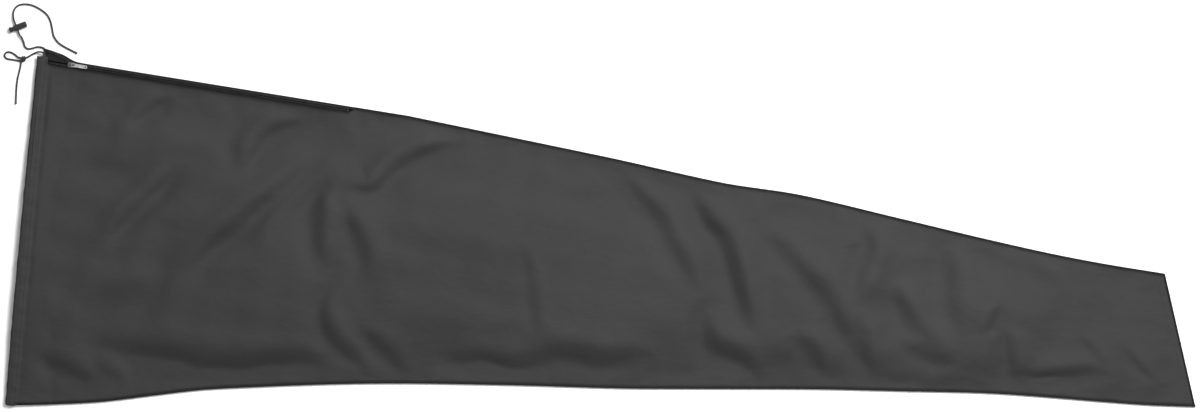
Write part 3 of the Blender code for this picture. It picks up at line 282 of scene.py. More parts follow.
# The knot's wraps: their middle, half their size across and up, the step from turn to turn, and the turns.
KNOT_MIDDLE = (0.0286, 0.5693, 0.0046)
KNOT_WRAP = (0.0036, 0.0029)
KNOT_PITCH = 0.0031
KNOT_TURNS = 1.75
BOW_TAIL_ROUTE = (
    (0.0252, 0.5632, 0.0022), (0.0243, 0.5575, 0.0018), (0.0225, 0.5495, 0.0018),
    (0.0197, 0.5380, 0.0018), (0.0179, 0.5250, 0.0018), (0.0171, 0.5120, 0.0018),
    (0.0167, 0.4995, 0.0018),
)

MOUTH_WAY = np.array([math.sin(MOUTH_LEAN), math.cos(MOUTH_LEAN)])
INTO_COVER = np.array([math.cos(MOUTH_LEAN), -math.sin(MOUTH_LEAN)])
ZIP_CORNER = MOUTH_WIDTH * MOUTH_WAY
END_CORNER = np.array([LENGTH, -END_DROP])
END_WAY = np.array([-math.sin(END_LEAN), math.cos(END_LEAN)])
FAR_CORNER = END_CORNER + END_WIDTH * END_WAY
ZIP_ANGLE = math.atan2(*(FAR_CORNER - ZIP_CORNER)[::-1]) + ZIP_EDGE_BOW
ZIP_WAY = np.array([math.cos(ZIP_ANGLE), math.sin(ZIP_ANGLE)])
ZIP_SIDE = np.array([math.sin(ZIP_ANGLE), -math.cos(ZIP_ANGLE)])
STRAIGHT_END = ZIP_CORNER + STRAIGHT_EDGE * ZIP_WAY
FAR_EDGE = STRAIGHT_EDGE + float(np.linalg.norm(FAR_CORNER - STRAIGHT_END))


def smooth_curve(points, rounded=False):
    """A cubic through (place, value) points, with slopes from the neighbours; unless rounded, level at
    turns."""
    places, values = np.array(points, float).T
    slopes = np.gradient(values, places)
    if not rounded:
        rise = np.diff(values) / np.diff(places)
        turning = rise[1:] * rise[:-1] <= 0
        slopes[1:-1][turning] = 0.0
        slopes[[0, -1]] = rise[[0, -1]]
        after, before = np.abs(np.append(rise, rise[-1])), np.abs(np.insert(rise, 0, rise[0]))
        steepest = 3 * np.minimum(after, before)
        slopes = np.clip(slopes, -steepest, steepest)

    def value(at):
        at = np.clip(at, places[0], places[-1])
        i = np.clip(np.searchsorted(places, at) - 1, 0, len(places) - 2)
        step = places[i + 1] - places[i]
        s = (at - places[i]) / step
        return (
            (2 * s**3 - 3 * s**2 + 1) * values[i]
            + (s**3 - 2 * s**2 + s) * step * slopes[i]
            + (3 * s**2 - 2 * s**3) * values[i + 1]
            + (s**3 - s**2) * step * slopes[i + 1]
        )

    return value


def ease(x):
    """0 to 1 with level ends: 3x^2 - 2x^3."""
    x = np.clip(x, 0.0, 1.0)
    return x * x * (3 - 2 * x)


near_bow = smooth_curve(NEAR_EDGE_BOW)
far_wave = smooth_curve(ZIP_EDGE_WAVE)
front_height = smooth_curve(FRONT_HEIGHT)
flare = smooth_curve(ZIP_FLARE)
back_coil_flare = smooth_curve(BACK_COIL_FLARE)
front_coil_flare = smooth_curve(FRONT_COIL_FLARE)
front_edge = smooth_curve(FRONT_EDGE)


def near_edge(share):
    """Points on the plain long edge: the straight line between its corners plus its bow."""
    share = np.asarray(share, float)[..., None]
    return share * END_CORNER + near_bow(share) * np.array([0.0, 1.0])


def zip_edge(distance):
    """Points on the zip's long edge: a straight stretch, then a chord with a gentle wave."""
    distance = np.asarray(distance, float)[..., None]
    straight = ZIP_CORNER + distance * ZIP_WAY
    chord = FAR_CORNER - STRAIGHT_END
    share = (distance - STRAIGHT_EDGE) / (FAR_EDGE - STRAIGHT_EDGE)
    outward = np.array([-chord[1], chord[0]]) / np.linalg.norm(chord)
    waved = STRAIGHT_END + share * chord + far_wave(share) * outward
    return np.where(distance < STRAIGHT_EDGE, straight, waved)


def inset(edge, at, amount, side):
    """Points of an edge moved in along its normal; side is 1 on the near edge and -1 on the zip's."""
    step = 1e-4
    way = edge(np.asarray(at) + step) - edge(np.asarray(at) - step)
    way /= np.linalg.norm(way, axis=-1, keepdims=True)
    normal = side * np.stack([-way[..., 1], way[..., 0]], axis=-1)
    return edge(at) + np.asarray(amount, float)[..., None] * normal


def from_mouth(distance, across):
    """Points beside the zip: distance from the mouth along it, across it from the edge."""
    distance = np.asarray(distance, float)[..., None]
    across = np.asarray(across, float)[..., None]
    return ZIP_CORNER + distance * ZIP_WAY + across * ZIP_SIDE


def crown(v):
    """0 along both long edges, 1 over the middle; it rises more slowly from the zip's side."""
    return ease(v / NEAR_RISE) * ease((1 - v) / ZIP_RISE)


def ripple(place, seed, longest):
    """A steady random wave: a sum of sines whose lengths go down from the longest, about 1 high."""
    random = np.random.default_rng(seed)
    total = np.zeros_like(place)
    for k in range(6):
        length = longest / (1 + 0.55 * k)
        total = total + np.sin(2 * math.pi * (place / length + random.random())) / (1 + 0.35 * k)
    return total / 2.2


def lengths_along(path):
    """The length of a path up to each of its points."""
    return np.concatenate([[0.0], np.cumsum(np.linalg.norm(np.diff(path, axis=0), axis=1))])


def line_through(points, count):
    """A smooth line through points, read at a number of even steps."""
    along = lengths_along(points)
    fine = np.linspace(0, along[-1], count)
    curves = [smooth_curve(np.column_stack([along, points[:, k]]), True) for k in range(points.shape[1])]
    return np.stack([curve(fine) for curve in curves], axis=1)


def puckers(along, into):
    """How the gathered hem stands up and dips beside its stitches: a wave that dies away into the cloth."""
    near_stitch = np.exp(-(((into - PUCKER_PLACE) / PUCKER_REACH) ** 2))
    return PUCKER_HEIGHT * ripple(along, 7, PUCKER_LENGTH) * near_stitch


def hem_dips(along, into):
    """The stitched line's own groove, deeper over a few stretches."""
    depth = np.full_like(along, GROOVE_DEPTH)
    for middle, half, extra in HEM_DIPS:
        depth = depth + extra * np.exp(-(((along - middle) / half) ** 4))
    return -depth * np.exp(-(((into - GROOVE_PLACE) / GROOVE_REACH) ** 2))


def fold_height(x, y, points, depth, width):
    """Height of one fold at plan points: depth times t/w times e^(1/2 - t^2/2w^2), t the signed distance to
    its line and w its width, which is largest halfway; it fades out over both ends of the line."""
    line = line_through(np.array(points, float), 30)
    nearest = np.full(x.shape, 1e9)
    signed = np.zeros(x.shape)
    share = np.zeros(x.shape)
    for i, (start, end) in enumerate(zip(line[:-1], line[1:])):
        way = end - start
        length = np.linalg.norm(way)
        way = way / length
        rx, ry = x - start[0], y - start[1]
        s = np.clip(rx * way[0] + ry * way[1], 0, length)
        gap = np.hypot(rx - s * way[0], ry - s * way[1])
        closer = gap < nearest
        nearest = np.where(closer, gap, nearest)
        signed = np.where(closer, np.where(ry * way[0] - rx * way[1] > 0, gap, -gap), signed)
        share = np.where(closer, (i + s / length) / (len(line) - 1), share)
    overall = line[-1] - line[0]
    facing = (overall[0] * LIGHT_SIDE[1] - overall[1] * LIGHT_SIDE[0]) / np.linalg.norm(overall)
    side = 1.0 if facing > 0 else -1.0
    depth = depth * min(1 / max(abs(facing), 0.1), MOST_DEEPENED)
    t = side * signed / (width * (0.65 + 0.7 * np.sin(math.pi * np.clip(share, 0, 1))))
    fade = ease(share / 0.34) * ease((1 - share) / 0.34)
    past_end = np.exp(-((np.maximum(nearest - np.abs(signed), 0) / width) ** 2))
    return depth * fade * past_end * t * np.exp(0.5 - t * t / 2)


def folds(x, y, amount):
    """All the front cloth's folds, and low broad swells between them."""
    total = np.zeros_like(x)
    for points, depth, width in FOLDS:
        total += amount * fold_height(x, y, points, depth, width * FOLD_BREADTH)

    def wave(across, up, start):
        return np.sin(2 * math.pi * (x * across + y * up) + start)

    swell = wave(2.1, 1.3, 0.6) + wave(3.3, -2.9, 2.1)
    small = wave(8.7, 6.1, 1.2) * wave(5.3, -9.4, 0.4)
    return total + SWELL_HEIGHT * swell + SMALL_SWELL_HEIGHT * small


def put_mesh(name, points, faces, material, uv=None):
    """A mesh object at the origin from arrays of points and of quads, with an optional UV per point."""
    mesh = bpy.data.meshes.new(name)
    count = len(points)
    mesh.vertices.add(count)
    mesh.vertices.foreach_set("co", np.asarray(points, np.float32).ravel())
    faces = np.asarray(faces, np.int32)
    sides = faces.shape[1]
    mesh.loops.add(faces.size)
    mesh.loops.foreach_set("vertex_index", faces.ravel())
    mesh.polygons.add(len(faces))
    mesh.polygons.foreach_set("loop_start", np.arange(0, faces.size, sides, dtype=np.int32))
    mesh.polygons.foreach_set("loop_total", np.full(len(faces), sides, np.int32))
    mesh.update(calc_edges=True)
    if uv is not None:
        layer = mesh.uv_layers.new(name="length_and_round")
        layer.data.foreach_set("uv", np.asarray(uv, np.float32)[faces.ravel()].ravel())
    mesh.polygons.foreach_set("use_smooth", np.ones(len(faces), bool))
    mesh.validate()
    mesh.materials.append(material)
    obj = bpy.data.objects.new(name, mesh)
    bpy.context.scene.collection.objects.link(obj)
    return obj


def placed(local):
    """Points from the near corner of the mouth to the frame."""
    local = np.array(local, float)
    local[..., :2] += CORNER
    return local


def grid_faces(high, wide, closed_rows=False):
    """Quads of a grid of points, rows by columns; with closed_rows the last column joins the first."""
    index = np.arange(high * wide).reshape(high, wide)
    if closed_rows:
        index = np.concatenate([index, index[:, :1]], axis=1)
    quads = np.stack([index[:-1, :-1], index[:-1, 1:], index[1:, 1:], index[1:, :-1]], axis=-1)
    return quads.reshape(-1, 4)


def thicken(obj, thickness):
    """Gives a sheet its thickness, half each way, and eases its rim."""
    wall = obj.modifiers.new("cloth thickness", "SOLIDIFY")
    wall.thickness = thickness
    wall.offset = 0.0
    wall.use_even_offset = True
    rim = obj.modifiers.new("eased rim", "BEVEL")
    rim.width = thickness * 0.3
    rim.segments = 2
    rim.limit_method = "ANGLE"
    rim.angle_limit = math.radians(60)
    rim.harden_normals = True


def swept(name, path, profile, sides, ups, material, across=None):
    """A closed profile carried along a path, with capped ends: each point is the station plus a times its
    side way plus b times its up way. profile is (stations, points, 2) or (points, 2). The UVs are the length
    along the path, and the share round the profile or what across gives."""
    path, sides, ups = (np.asarray(v, float) for v in (path, sides, ups))
    profile = np.broadcast_to(profile, (len(path), *np.shape(profile)[-2:]))
    rings = path[:, None] + profile[..., :1] * sides[:, None] + profile[..., 1:] * ups[:, None]
    count, around = profile.shape[:2]
    points = rings.reshape(-1, 3)
    faces = grid_faces(count, around, closed_rows=True)
    along = lengths_along(path)
    across = np.linspace(0, 1, around)[None] if across is None else across
    uv = np.stack(np.broadcast_arrays(along[:, None], across), axis=-1).reshape(-1, 2)
    points = np.vstack([points, rings[[0, -1]].mean(axis=1)])
    uv = np.vstack([uv, [[along[0], 0.5], [along[-1], 0.5]]])
    ring = np.arange(around)
    turn = np.roll(ring, -1)
    first = np.full(around, len(points) - 2)
    last = np.full(around, len(points) - 1)
    end = (count - 1) * around
    caps = np.vstack([np.column_stack([first, turn, ring]), np.column_stack([last, end + ring, end + turn])])
    obj = put_mesh(name, placed(points), faces, material, uv)
    close_ends(obj, caps)
    return obj


def close_ends(obj, triangles):
    """Adds the end caps' triangles to a swept mesh and turns its faces outward."""
    made = bmesh.new()
    made.from_mesh(obj.data)
    made.verts.ensure_lookup_table()
    for triangle in triangles:
        face = made.faces.new([made.verts[int(i)] for i in triangle])
        face.smooth = True
    bmesh.ops.recalc_face_normals(made, faces=made.faces)
    made.to_mesh(obj.data)
    made.free()


def ways_along(path):
    """Unit ways of a path, and side and up ways that turn with it as little as they can."""
    ways = np.gradient(np.asarray(path, float), axis=0)
    ways /= np.linalg.norm(ways, axis=1, keepdims=True)
    ups = np.empty_like(ways)
    up = np.array([0.0, 0.0, 1.0])
    if abs(ways[0, 2]) > 0.9:
        up = np.array([0.0, 1.0, 0.0])
    for i, way in enumerate(ways):
        up = up - way * (up @ way)
        up /= np.linalg.norm(up)
        ups[i] = up
    return ways, np.cross(ways, ups), ups


def cord_tube(name, path, radius, around, material):
    """A round tube along a path, with its length and its way round as UVs."""
    path = np.asarray(path, float)
    _, sides, ups = ways_along(path)
    angle = np.linspace(0, 2 * math.pi, around, endpoint=False)
    circle = np.column_stack([np.cos(angle), np.sin(angle)])
    radius = np.broadcast_to(radius, len(path))
    return swept(name, path, radius[:, None, None] * circle, sides, ups, material)


def route(points, step):
    """A smooth line through given points, read at even steps."""
    points = np.array(points, float)
    return line_through(points, max(4, round(lengths_along(points)[-1] / step) + 1))


def eased(path, rounds):
    """A path whose sharp turns are rounded: each point moves to (before + 2 itself + after) / 4, some times
    over."""
    for _ in range(rounds):
        path = np.vstack([path[:1], (path[:-2] + 2 * path[1:-1] + path[2:]) / 4, path[-1:]])
    return path


def relaxed(points, held, slack, frames):
    """How far a grid of cloth moves when it has spare length, as Blender's cloth settles it over some frames.
    It is held where held is 1."""
    high, wide = points.shape[:2]
    obj = put_mesh("settling_cloth", points.reshape(-1, 3), grid_faces(high, wide), finish_named("cloth"))
    group = obj.vertex_groups.new(name="held")
    group.add(np.flatnonzero(held.ravel()).tolist(), 1.0, "REPLACE")
    cloth = obj.modifiers.new("cloth", "CLOTH")
    settings = cloth.settings
    settings.quality = 5
    settings.mass = 0.2
    settings.tension_stiffness = 25
    settings.compression_stiffness = 25
    settings.shear_stiffness = 12.5
    settings.bending_stiffness = 2
    settings.air_damping = 1.0
    settings.vertex_group_mass = "held"
    settings.shrink_min = -slack
    settings.effector_weights.gravity = 0
    cloth.collision_settings.use_collision = False
    cloth.point_cache.frame_start = 1
    cloth.point_cache.frame_end = frames
    scene = bpy.context.scene
    for number in range(1, frames + 1):
        scene.frame_set(number)
    settled = obj.evaluated_get(bpy.context.evaluated_depsgraph_get())
    mesh = settled.to_mesh()
    moved = np.empty(len(mesh.vertices) * 3, np.float32)
    mesh.vertices.foreach_get("co", moved)
    settled.to_mesh_clear()
    bpy.data.objects.remove(obj, do_unlink=True)
    scene.frame_set(1)
    return moved.reshape(points.shape) - points


def between(knots, at):
    """Weights that read values at the knots at other places, with straight lines between them."""
    return np.stack([np.interp(at, knots, row) for row in np.eye(len(knots))], axis=1)


def softened(values, rounds):
    """Values on a grid, each moved some times to the mean of itself and its neighbours both ways."""
    for _ in range(rounds):
        for axis in (0, 1):
            padded = np.concatenate([values.take([0], axis), values, values.take([-1], axis)], axis)
            count = values.shape[axis]
            before, same, after = (padded.take(range(k, k + count), axis) for k in range(3))
            values = (before + 2 * same + after) / 4
    return values


def settle_by_simulation(points, distance, v):
    """Adds the small creases of a cloth with a little spare length to a grid of points. The coarse grid that
    settles has its own even columns and rows, and its moves are read back smoothly and limited."""
    columns = np.linspace(distance[0], distance[-1], SETTLING_COLUMNS)
    rows = np.linspace(0, 1, SETTLING_ROWS)
    onto_rows = between(v, rows)
    onto_columns = between(distance, columns)
    coarse = np.einsum("ri,ijk,cj->rck", onto_rows, points, onto_columns)
    held = np.ones(coarse.shape[:2])
    held[2:-2, 5:-2] = 0
    moves = relaxed(coarse, held, CLOTH_SLACK, SETTLING_FRAMES)
    fine = np.einsum("ri,ijk,cj->rck", between(rows, v), moves, between(columns, distance))
    return points + SETTLED_SHARE * MOST_MOVE * np.tanh(softened(fine, 4) / MOST_MOVE)


class Value:
    """A number or vector that changes over a surface; arithmetic on it adds Math nodes."""

    def __init__(self, finish, socket):
        self.finish = finish
        self.socket = socket

    def math(self, operation, *others):
        sockets = dict(enumerate((self, *others)))
        return self.finish.node("ShaderNodeMath", {"operation": operation}, sockets)

    def __add__(self, other):
        return self.math("ADD", other)

    __radd__ = __add__

    def __mul__(self, other):
        return self.math("MULTIPLY", other)

    __rmul__ = __mul__

    def __sub__(self, other):
        return self.math("SUBTRACT", other)

    def __rsub__(self, other):
        return self.finish.node("ShaderNodeMath", {"operation": "SUBTRACT"}, {0: other, 1: self})

    def __truediv__(self, other):
        return self.math("DIVIDE", other)

    def __pow__(self, other):
        return self.math("POWER", other)

    def sine(self):
        return self.math("SINE")

    def absolute(self):
        return self.math("ABSOLUTE")


class Finish:
    """A material with one Principled shader, and the nodes that feed it."""

    def __init__(self, name, roughness, metallic=0.0, **constants):
        self.material = bpy.data.materials.new(name)
        self.material.use_nodes = True
        self.tree = self.material.node_tree
        self.shader = self.tree.nodes["Principled BSDF"]
        self.shader.inputs["Roughness"].default_value = roughness
        self.shader.inputs["Metallic"].default_value = metallic
        for socket, value in constants.items():
            self.shader.inputs[socket.replace("_", " ")].default_value = value

    def node(self, kind, settings=None, sockets=None, output=0):
        """A node of a type, its settings made first, then the values or links of its sockets."""
        made = self.tree.nodes.new(kind)
        for setting, value in (settings or {}).items():
            setattr(made, setting, value)
        for socket, value in (sockets or {}).items():
            if isinstance(value, Value):
                self.tree.links.new(value.socket, made.inputs[socket])
            else:
                made.inputs[socket].default_value = value
        return Value(self, made.outputs[output])

    def feed(self, socket, value):
        self.tree.links.new(value.socket, self.shader.inputs[socket])

    def place(self, output="Object"):
        return self.node("ShaderNodeTexCoord", output=output)

    def scaled(self, vector, scale, turn=0.0):
        sockets = {"Vector": vector, "Scale": scale, "Rotation": (0, 0, turn)}
        return self.node("ShaderNodeMapping", {}, sockets)

    def parts(self, vector):
        """The vector's three numbers."""
        return [self.node("ShaderNodeSeparateXYZ", {}, {0: vector}, output=k) for k in range(3)]

    def noise(self, vector, scale, detail=2.0, roughness=0.5):
        sockets = {"Vector": vector, "Scale": scale, "Detail": detail, "Roughness": roughness}
        return self.node("ShaderNodeTexNoise", {}, sockets)

    def blended(self, share, first, second):
        """A colour between two, by share."""
        first, second = (c if isinstance(c, Value) else (*c, 1.0) for c in (first, second))
        return self.node("ShaderNodeMix", {"data_type": "RGBA"}, {0: share, 6: first, 7: second}, output=2)

    def bump(self, height, distance):
        sockets = {"Height": height, "Distance": distance, "Strength": 1.0}
        self.feed("Normal", self.node("ShaderNodeBump", {}, sockets))


def shade(colour, times):
    """A colour made darker or lighter."""
    return tuple(c * times for c in colour)


def woven(name, colour, pitch, roughness, crinkle=1.0, painted_shade_reach=None):
    """Plain-woven cloth: over-and-under threads at the given pitch, crinkles from two sizes of noise, and a
    colour that drifts a little over the piece. Given an edge reach, shade is painted into the colour within
    that distance of its sewn edge, where the piece's second UV is the distance in from the edge."""
    finish = Finish(name, roughness, Specular_IOR_Level=0.2, Sheen_Weight=0.02, Sheen_Roughness=0.4)
    place = finish.place()
    x, y, _ = finish.parts(place)
    thread = 2 * math.pi / pitch
    weave = (x * thread).sine() * (y * thread).sine()
    broad = finish.noise(place, 2.6, 3.0)
    mottle = finish.noise(place, 46.0, 4.0, 0.6)
    cloudy = finish.noise(finish.scaled(place, (1.0, 1.6, 1.0)), 13.0, 3.0, 0.55)
    share = broad * 0.55 + mottle * 0.25 + cloudy * 0.35 + weave * 0.04 - 0.10
    tone = finish.blended(share, shade(colour, 0.80), shade(colour, 1.20))
    # Painted shade: towards the sewn edge the colour is blended down to the edge shade's share of itself,
    # standing in for the shade where the edge turns down.
    if painted_shade_reach:
        _, from_edge, _ = finish.parts(finish.place("UV"))
        kept = (from_edge / painted_shade_reach).math("MINIMUM", 1.0)
        tone = finish.blended(kept, shade(colour, EDGE_PAINTED_SHADE), tone)
    finish.feed("Base Color", tone)
    finish.feed("Roughness", mottle * 0.18 + (roughness - 0.09))
    height = cloudy * (1.5 * crinkle) + mottle * (0.28 * crinkle) + weave * 0.035
    finish.bump(height, 0.0020)
    return finish.material


def ribbed_tape(name, colour):
    """Zip tape: fine ribs along its length and a knit across them."""
    finish = Finish(name, 0.8, Specular_IOR_Level=0.3)
    length, across, _ = finish.parts(finish.place("UV"))
    ribs = (across * (2 * math.pi / 0.0009)).sine()
    knit = (length * (2 * math.pi / 0.0012)).sine()
    share = ribs * 0.25 + knit * 0.12 + 0.5
    finish.feed("Base Color", finish.blended(share, shade(colour, 0.7), shade(colour, 1.5)))
    finish.bump(ribs * 0.5 + knit * 0.4, 0.0002)
    return finish.material


def braided(name, colour, diameter):
    """Round braid: two sets of strands crossing as they wind round the cord."""
    finish = Finish(name, 0.82)
    length, round_share, _ = finish.parts(finish.place("UV"))
    along = length * (2 * math.pi / (1.1 * diameter))
    turned = round_share * (2 * math.pi * 4)
    strands = ((along + turned).sine() * (along - turned).sine()).absolute()
    speckle = finish.noise(finish.place(), 900.0, 2.0)
    share = strands * 0.6 + speckle * 0.4
    finish.feed("Base Color", finish.blended(share, shade(colour, 0.55), shade(colour, 1.35)))
    finish.bump(strands, 0.00035)
    return finish.material


def moulded(name, colour, roughness):
    """Moulded plastic: a faint grain and smudges of gloss."""
    finish = Finish(name, roughness)
    place = finish.place()
    grain = finish.noise(place, 1400.0, 2.0)
    smudge = finish.noise(place, 90.0, 3.0)
    finish.feed("Base Color", finish.blended(smudge, shade(colour, 0.85), shade(colour, 1.25)))
    finish.feed("Roughness", smudge * 0.2 + (roughness - 0.1))
    finish.bump(grain, 0.00004)
    return finish.material


def plated(name, colour, roughness):
    """Plated or enamelled metal: fine scratches stretched one way and soft smudges."""
    finish = Finish(name, roughness, metallic=1.0)
    place = finish.place()
    scratches = finish.noise(finish.scaled(place, (200.0, 3000.0, 600.0), ZIP_ANGLE), 1.0, 3.0)
    smudge = finish.noise(place, 160.0, 3.0)
    finish.feed("Base Color", finish.blended(smudge, shade(colour, 0.8), shade(colour, 1.15)))
    finish.feed("Roughness", smudge * 0.25 + scratches * 0.15 + (roughness - 0.2))
    finish.bump(scratches, 0.00002)
    return finish.material


class CoverColours(bpy.types.PropertyGroup):
    """Colours of the cover's materials."""

    cloth: FloatVectorProperty(
        name="Cloth",
        description="Colour of the woven cloth", subtype="COLOR", default=(0.0258, 0.0258, 0.0262)
    )
    # Painted shade: the turned seams are the cloth itself, coloured much darker to stand in for the shade along
    # their rolled edges.
    piping: FloatVectorProperty(
        name="Seams",
        description="Colour of the sewn edges", subtype="COLOR", default=(0.007, 0.007, 0.0075)
    )
    zip: FloatVectorProperty(
        name="Zip",
        description="Colour of the zip's tapes and coils", subtype="COLOR", default=(0.012, 0.012, 0.0125)
    )
    cord: FloatVectorProperty(
        name="Cord",
        description="Colour of the drawcord", subtype="COLOR", default=(0.030, 0.030, 0.031)
    )
    floor: FloatVectorProperty(
        name="Floor",
        description="Colour of the floor", subtype="COLOR", default=(0.90, 0.90, 0.90)
    )


class CoverSizes(bpy.types.PropertyGroup):
    """Sizes of the cover's fine detail."""

    weave_pitch: FloatProperty(
        name="Weave pitch",
        description="Distance between threads", unit="LENGTH", default=0.0009, precision=5
    )
    cloth_thickness: FloatProperty(
        name="Cloth thickness",
        description="Thickness of one layer", unit="LENGTH", default=0.0007, precision=5
    )
    fold_depth: FloatProperty(
        name="Fold depth",
        description="Share of the folds' full height", subtype="FACTOR", default=1.0, min=0, max=2
    )
    coil_pitch: FloatProperty(
        name="Coil pitch",
        description="Distance between the zip's loops", unit="LENGTH", default=0.0016, precision=5
    )
    stitch_length: FloatProperty(
        name="Stitch",
        description="Length of one stitch", unit="LENGTH", default=0.0034, precision=5
    )
    columns: IntProperty(
        name="Columns",
        description="Columns of the cloth's grid", default=400, min=60, max=480
    )
    rows: IntProperty(name="Rows", description="Rows of the cloth's grid", default=112, min=20, max=200)


FINISHES = {}


def finish_named(name):
    """The material of that name, made the first time that it is asked for."""
    colours = bpy.context.scene.cover_colours
    pitch = bpy.context.scene.cover_sizes.weave_pitch
    if name not in FINISHES:
        cloth, piping, zip_black, cord = (
            tuple(colour) for colour in (colours.cloth, colours.piping, colours.zip, colours.cord)
        )
        makers = {
            # Painted shade on the cloth within 4.8 mm of its sewn edges.
            "cloth": lambda: woven("woven polyester", cloth, pitch, 0.64, painted_shade_reach=0.0048),
            # Painted shade: the back cloth is the same cloth at 0.8 of its colour, for the shade it lies in
            # under the front cloth.
            "shaded inner cloth": lambda: woven("woven polyester, inside, painted shade", shade(cloth, 0.8), pitch, 0.7),
            # Painted shade on the hem within 3.5 mm of its fold at the mouth.
            "hem": lambda: woven("woven polyester, hemmed", shade(cloth, 0.97), pitch, 0.64, 0.7, 0.0035),
            # Painted shade: the sewn edges are the same cloth, coloured dark for the shade along their roll.
            "piping": lambda: woven("turned seam, painted shade", piping, pitch, 0.75, 0.4),
            "tape": lambda: ribbed_tape("knitted zip tape", shade(zip_black, 0.5)),
            "coil": lambda: moulded("black nylon coil", zip_black, 0.4),
            "nylon": lambda: moulded("moulded black nylon", shade(zip_black, 1.2), 0.38),
            "stop": lambda: plated("black enamelled stop", (0.03, 0.03, 0.03), 0.45),
            "slider": lambda: plated("grey enamelled slider", (0.16, 0.16, 0.165), 0.42),
            "nickel": lambda: plated("satin nickel", (0.62, 0.62, 0.61), 0.34),
            "steel": lambda: plated("spring wire", (0.55, 0.55, 0.55), 0.32),
            "cord": lambda: braided("braided cord", cord, CORD_DIAMETER),
            "thread": lambda: moulded("sewing thread", (0.020, 0.020, 0.021), 0.6),
        }
        FINISHES[name] = makers[name]()
    return FINISHES[name]


class COVER_OT_front_cloth(bpy.types.Operator):
    """Front cloth: a grid over the outline, domed in the middle, with its folds"""

    bl_idname = "cover.front_cloth"
    bl_label = "Front Cloth"

    def execute(self, context):
        sizes = context.scene.cover_sizes
        first = FRONT_START / math.cos(MOUTH_LEAN + ZIP_ANGLE)
        last = FAR_EDGE * (1 - FRONT_END_GAP / LENGTH)
        close = first + (CLOSE_COLUMNS_END - first) * np.linspace(0, 1, CLOSE_COLUMNS)
        wide = np.linspace(CLOSE_COLUMNS_END, last, sizes.columns - CLOSE_COLUMNS)
        distance = np.concatenate([close, wide[1:]])
        share = distance / FAR_EDGE
        near = inset(near_edge, share, np.full_like(share, FRONT_NEAR_GAP), 1)
        far = inset(zip_edge, distance, front_edge(distance), -1)
        v = np.linspace(0, 1, sizes.rows)[:, None]
        v = v - ROW_CROWDING * np.sin(2 * math.pi * v)
        plan = near + (far - near) * v[..., None]
        x, y = plan[..., 0], plan[..., 1]
        near_height = PIPING_HEIGHT + (HEM_UPPER_LEG - PIPING_HEIGHT) * (1 - ease(share * LENGTH / 0.08))
        beside_zip = 1 - ease((distance - FRONT_STEP_DOWN) / RUN_OUT)
        hem_lift = 0.0012 * (1 - ease(distance / 0.05))
        far_height = PIPING_HEIGHT + (BESIDE_ZIP_HEIGHT - PIPING_HEIGHT) * beside_zip + hem_lift
        middle = PIPING_HEIGHT + (front_height(share) - PIPING_HEIGHT) * ease((1 - share) / 0.19)
        edges = near_height + (far_height - near_height) * v
        height = edges + (middle - edges) * crown(v)
        rim = np.minimum(v, 1 - v) * np.linalg.norm(far - near, axis=1)
        settle = ease(rim / 0.03)
        end_settle = ease((1 - share) * LENGTH / 0.05)
        into = plan @ INTO_COVER
        along_mouth = plan @ MOUTH_WAY
        near_hem = ease((into - 0.018) / 0.035)
        by_hem = 1 - ease((into - 0.020) / 0.045)
        height = height + (mouth_height(along_mouth) + HEM_LAP - height) * by_hem
        height = height + folds(x, y, sizes.fold_depth) * (0.12 + 0.88 * settle) * end_settle * near_hem
        height = height + (puckers(along_mouth, into) + hem_dips(along_mouth, into)) * (0.2 + 0.8 * settle)
        height = height + 0.0011 * np.exp(-(((into - 0.0150) / 0.004) ** 2))
        zip_lip = ease((distance - 0.02) / 0.02) * (1 - 0.75 * ease((distance - 0.50) / 0.45))
        low_stretch = np.exp(-(((distance - ZIP_END) / LIP_LOW_STRETCH) ** 4))
        zip_lip = zip_lip * (1 - LIP_LOWERED * low_stretch)
        height = height + LIP_HEIGHT * zip_lip * np.exp(-rim / LIP_REACH) * (v > 0.5)
        edge_waves = 0.0006 * ripple(share * LENGTH, 3, 0.09) * (1 - ease(rim / 0.05)) * ease(rim / 0.004)
        height = height + edge_waves
        over_zip = np.exp(-((np.maximum(distance - 0.019, 0) / 0.004) ** 2)) * ease((v - 0.9) / 0.07)
        height = np.maximum(height, 0.0100 * over_zip)
        points = np.concatenate([plan, height[..., None]], axis=-1)
        points = settle_by_simulation(points, distance, v[:, 0])
        over = points[..., 2] - LEAST_HEIGHT
        points[..., 2] = LEAST_HEIGHT + (over + np.hypot(over, CONTACT_EASE)) / 2
        faces = grid_faces(len(v), len(distance))
        # Distances in from the sewn edges, which set the painted edge shade; beside the zip they are pushed out
        # of its reach, so no shade is painted there.
        far_rim = (1 - v) * np.linalg.norm(far - near, axis=1) + 0.02 * (distance < ZIP_END)
        from_edge = np.minimum(np.minimum(rim, far_rim), (1 - share) * LENGTH)
        uv = np.stack(np.broadcast_arrays(distance, from_edge), axis=-1).reshape(-1, 2)
        cloth = put_mesh("front_cloth", placed(points.reshape(-1, 3)), faces, finish_named("cloth"), uv)
        thicken(cloth, sizes.cloth_thickness)
        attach(cloth, "cover")
        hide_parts("front_panel")
        return {"FINISHED"}


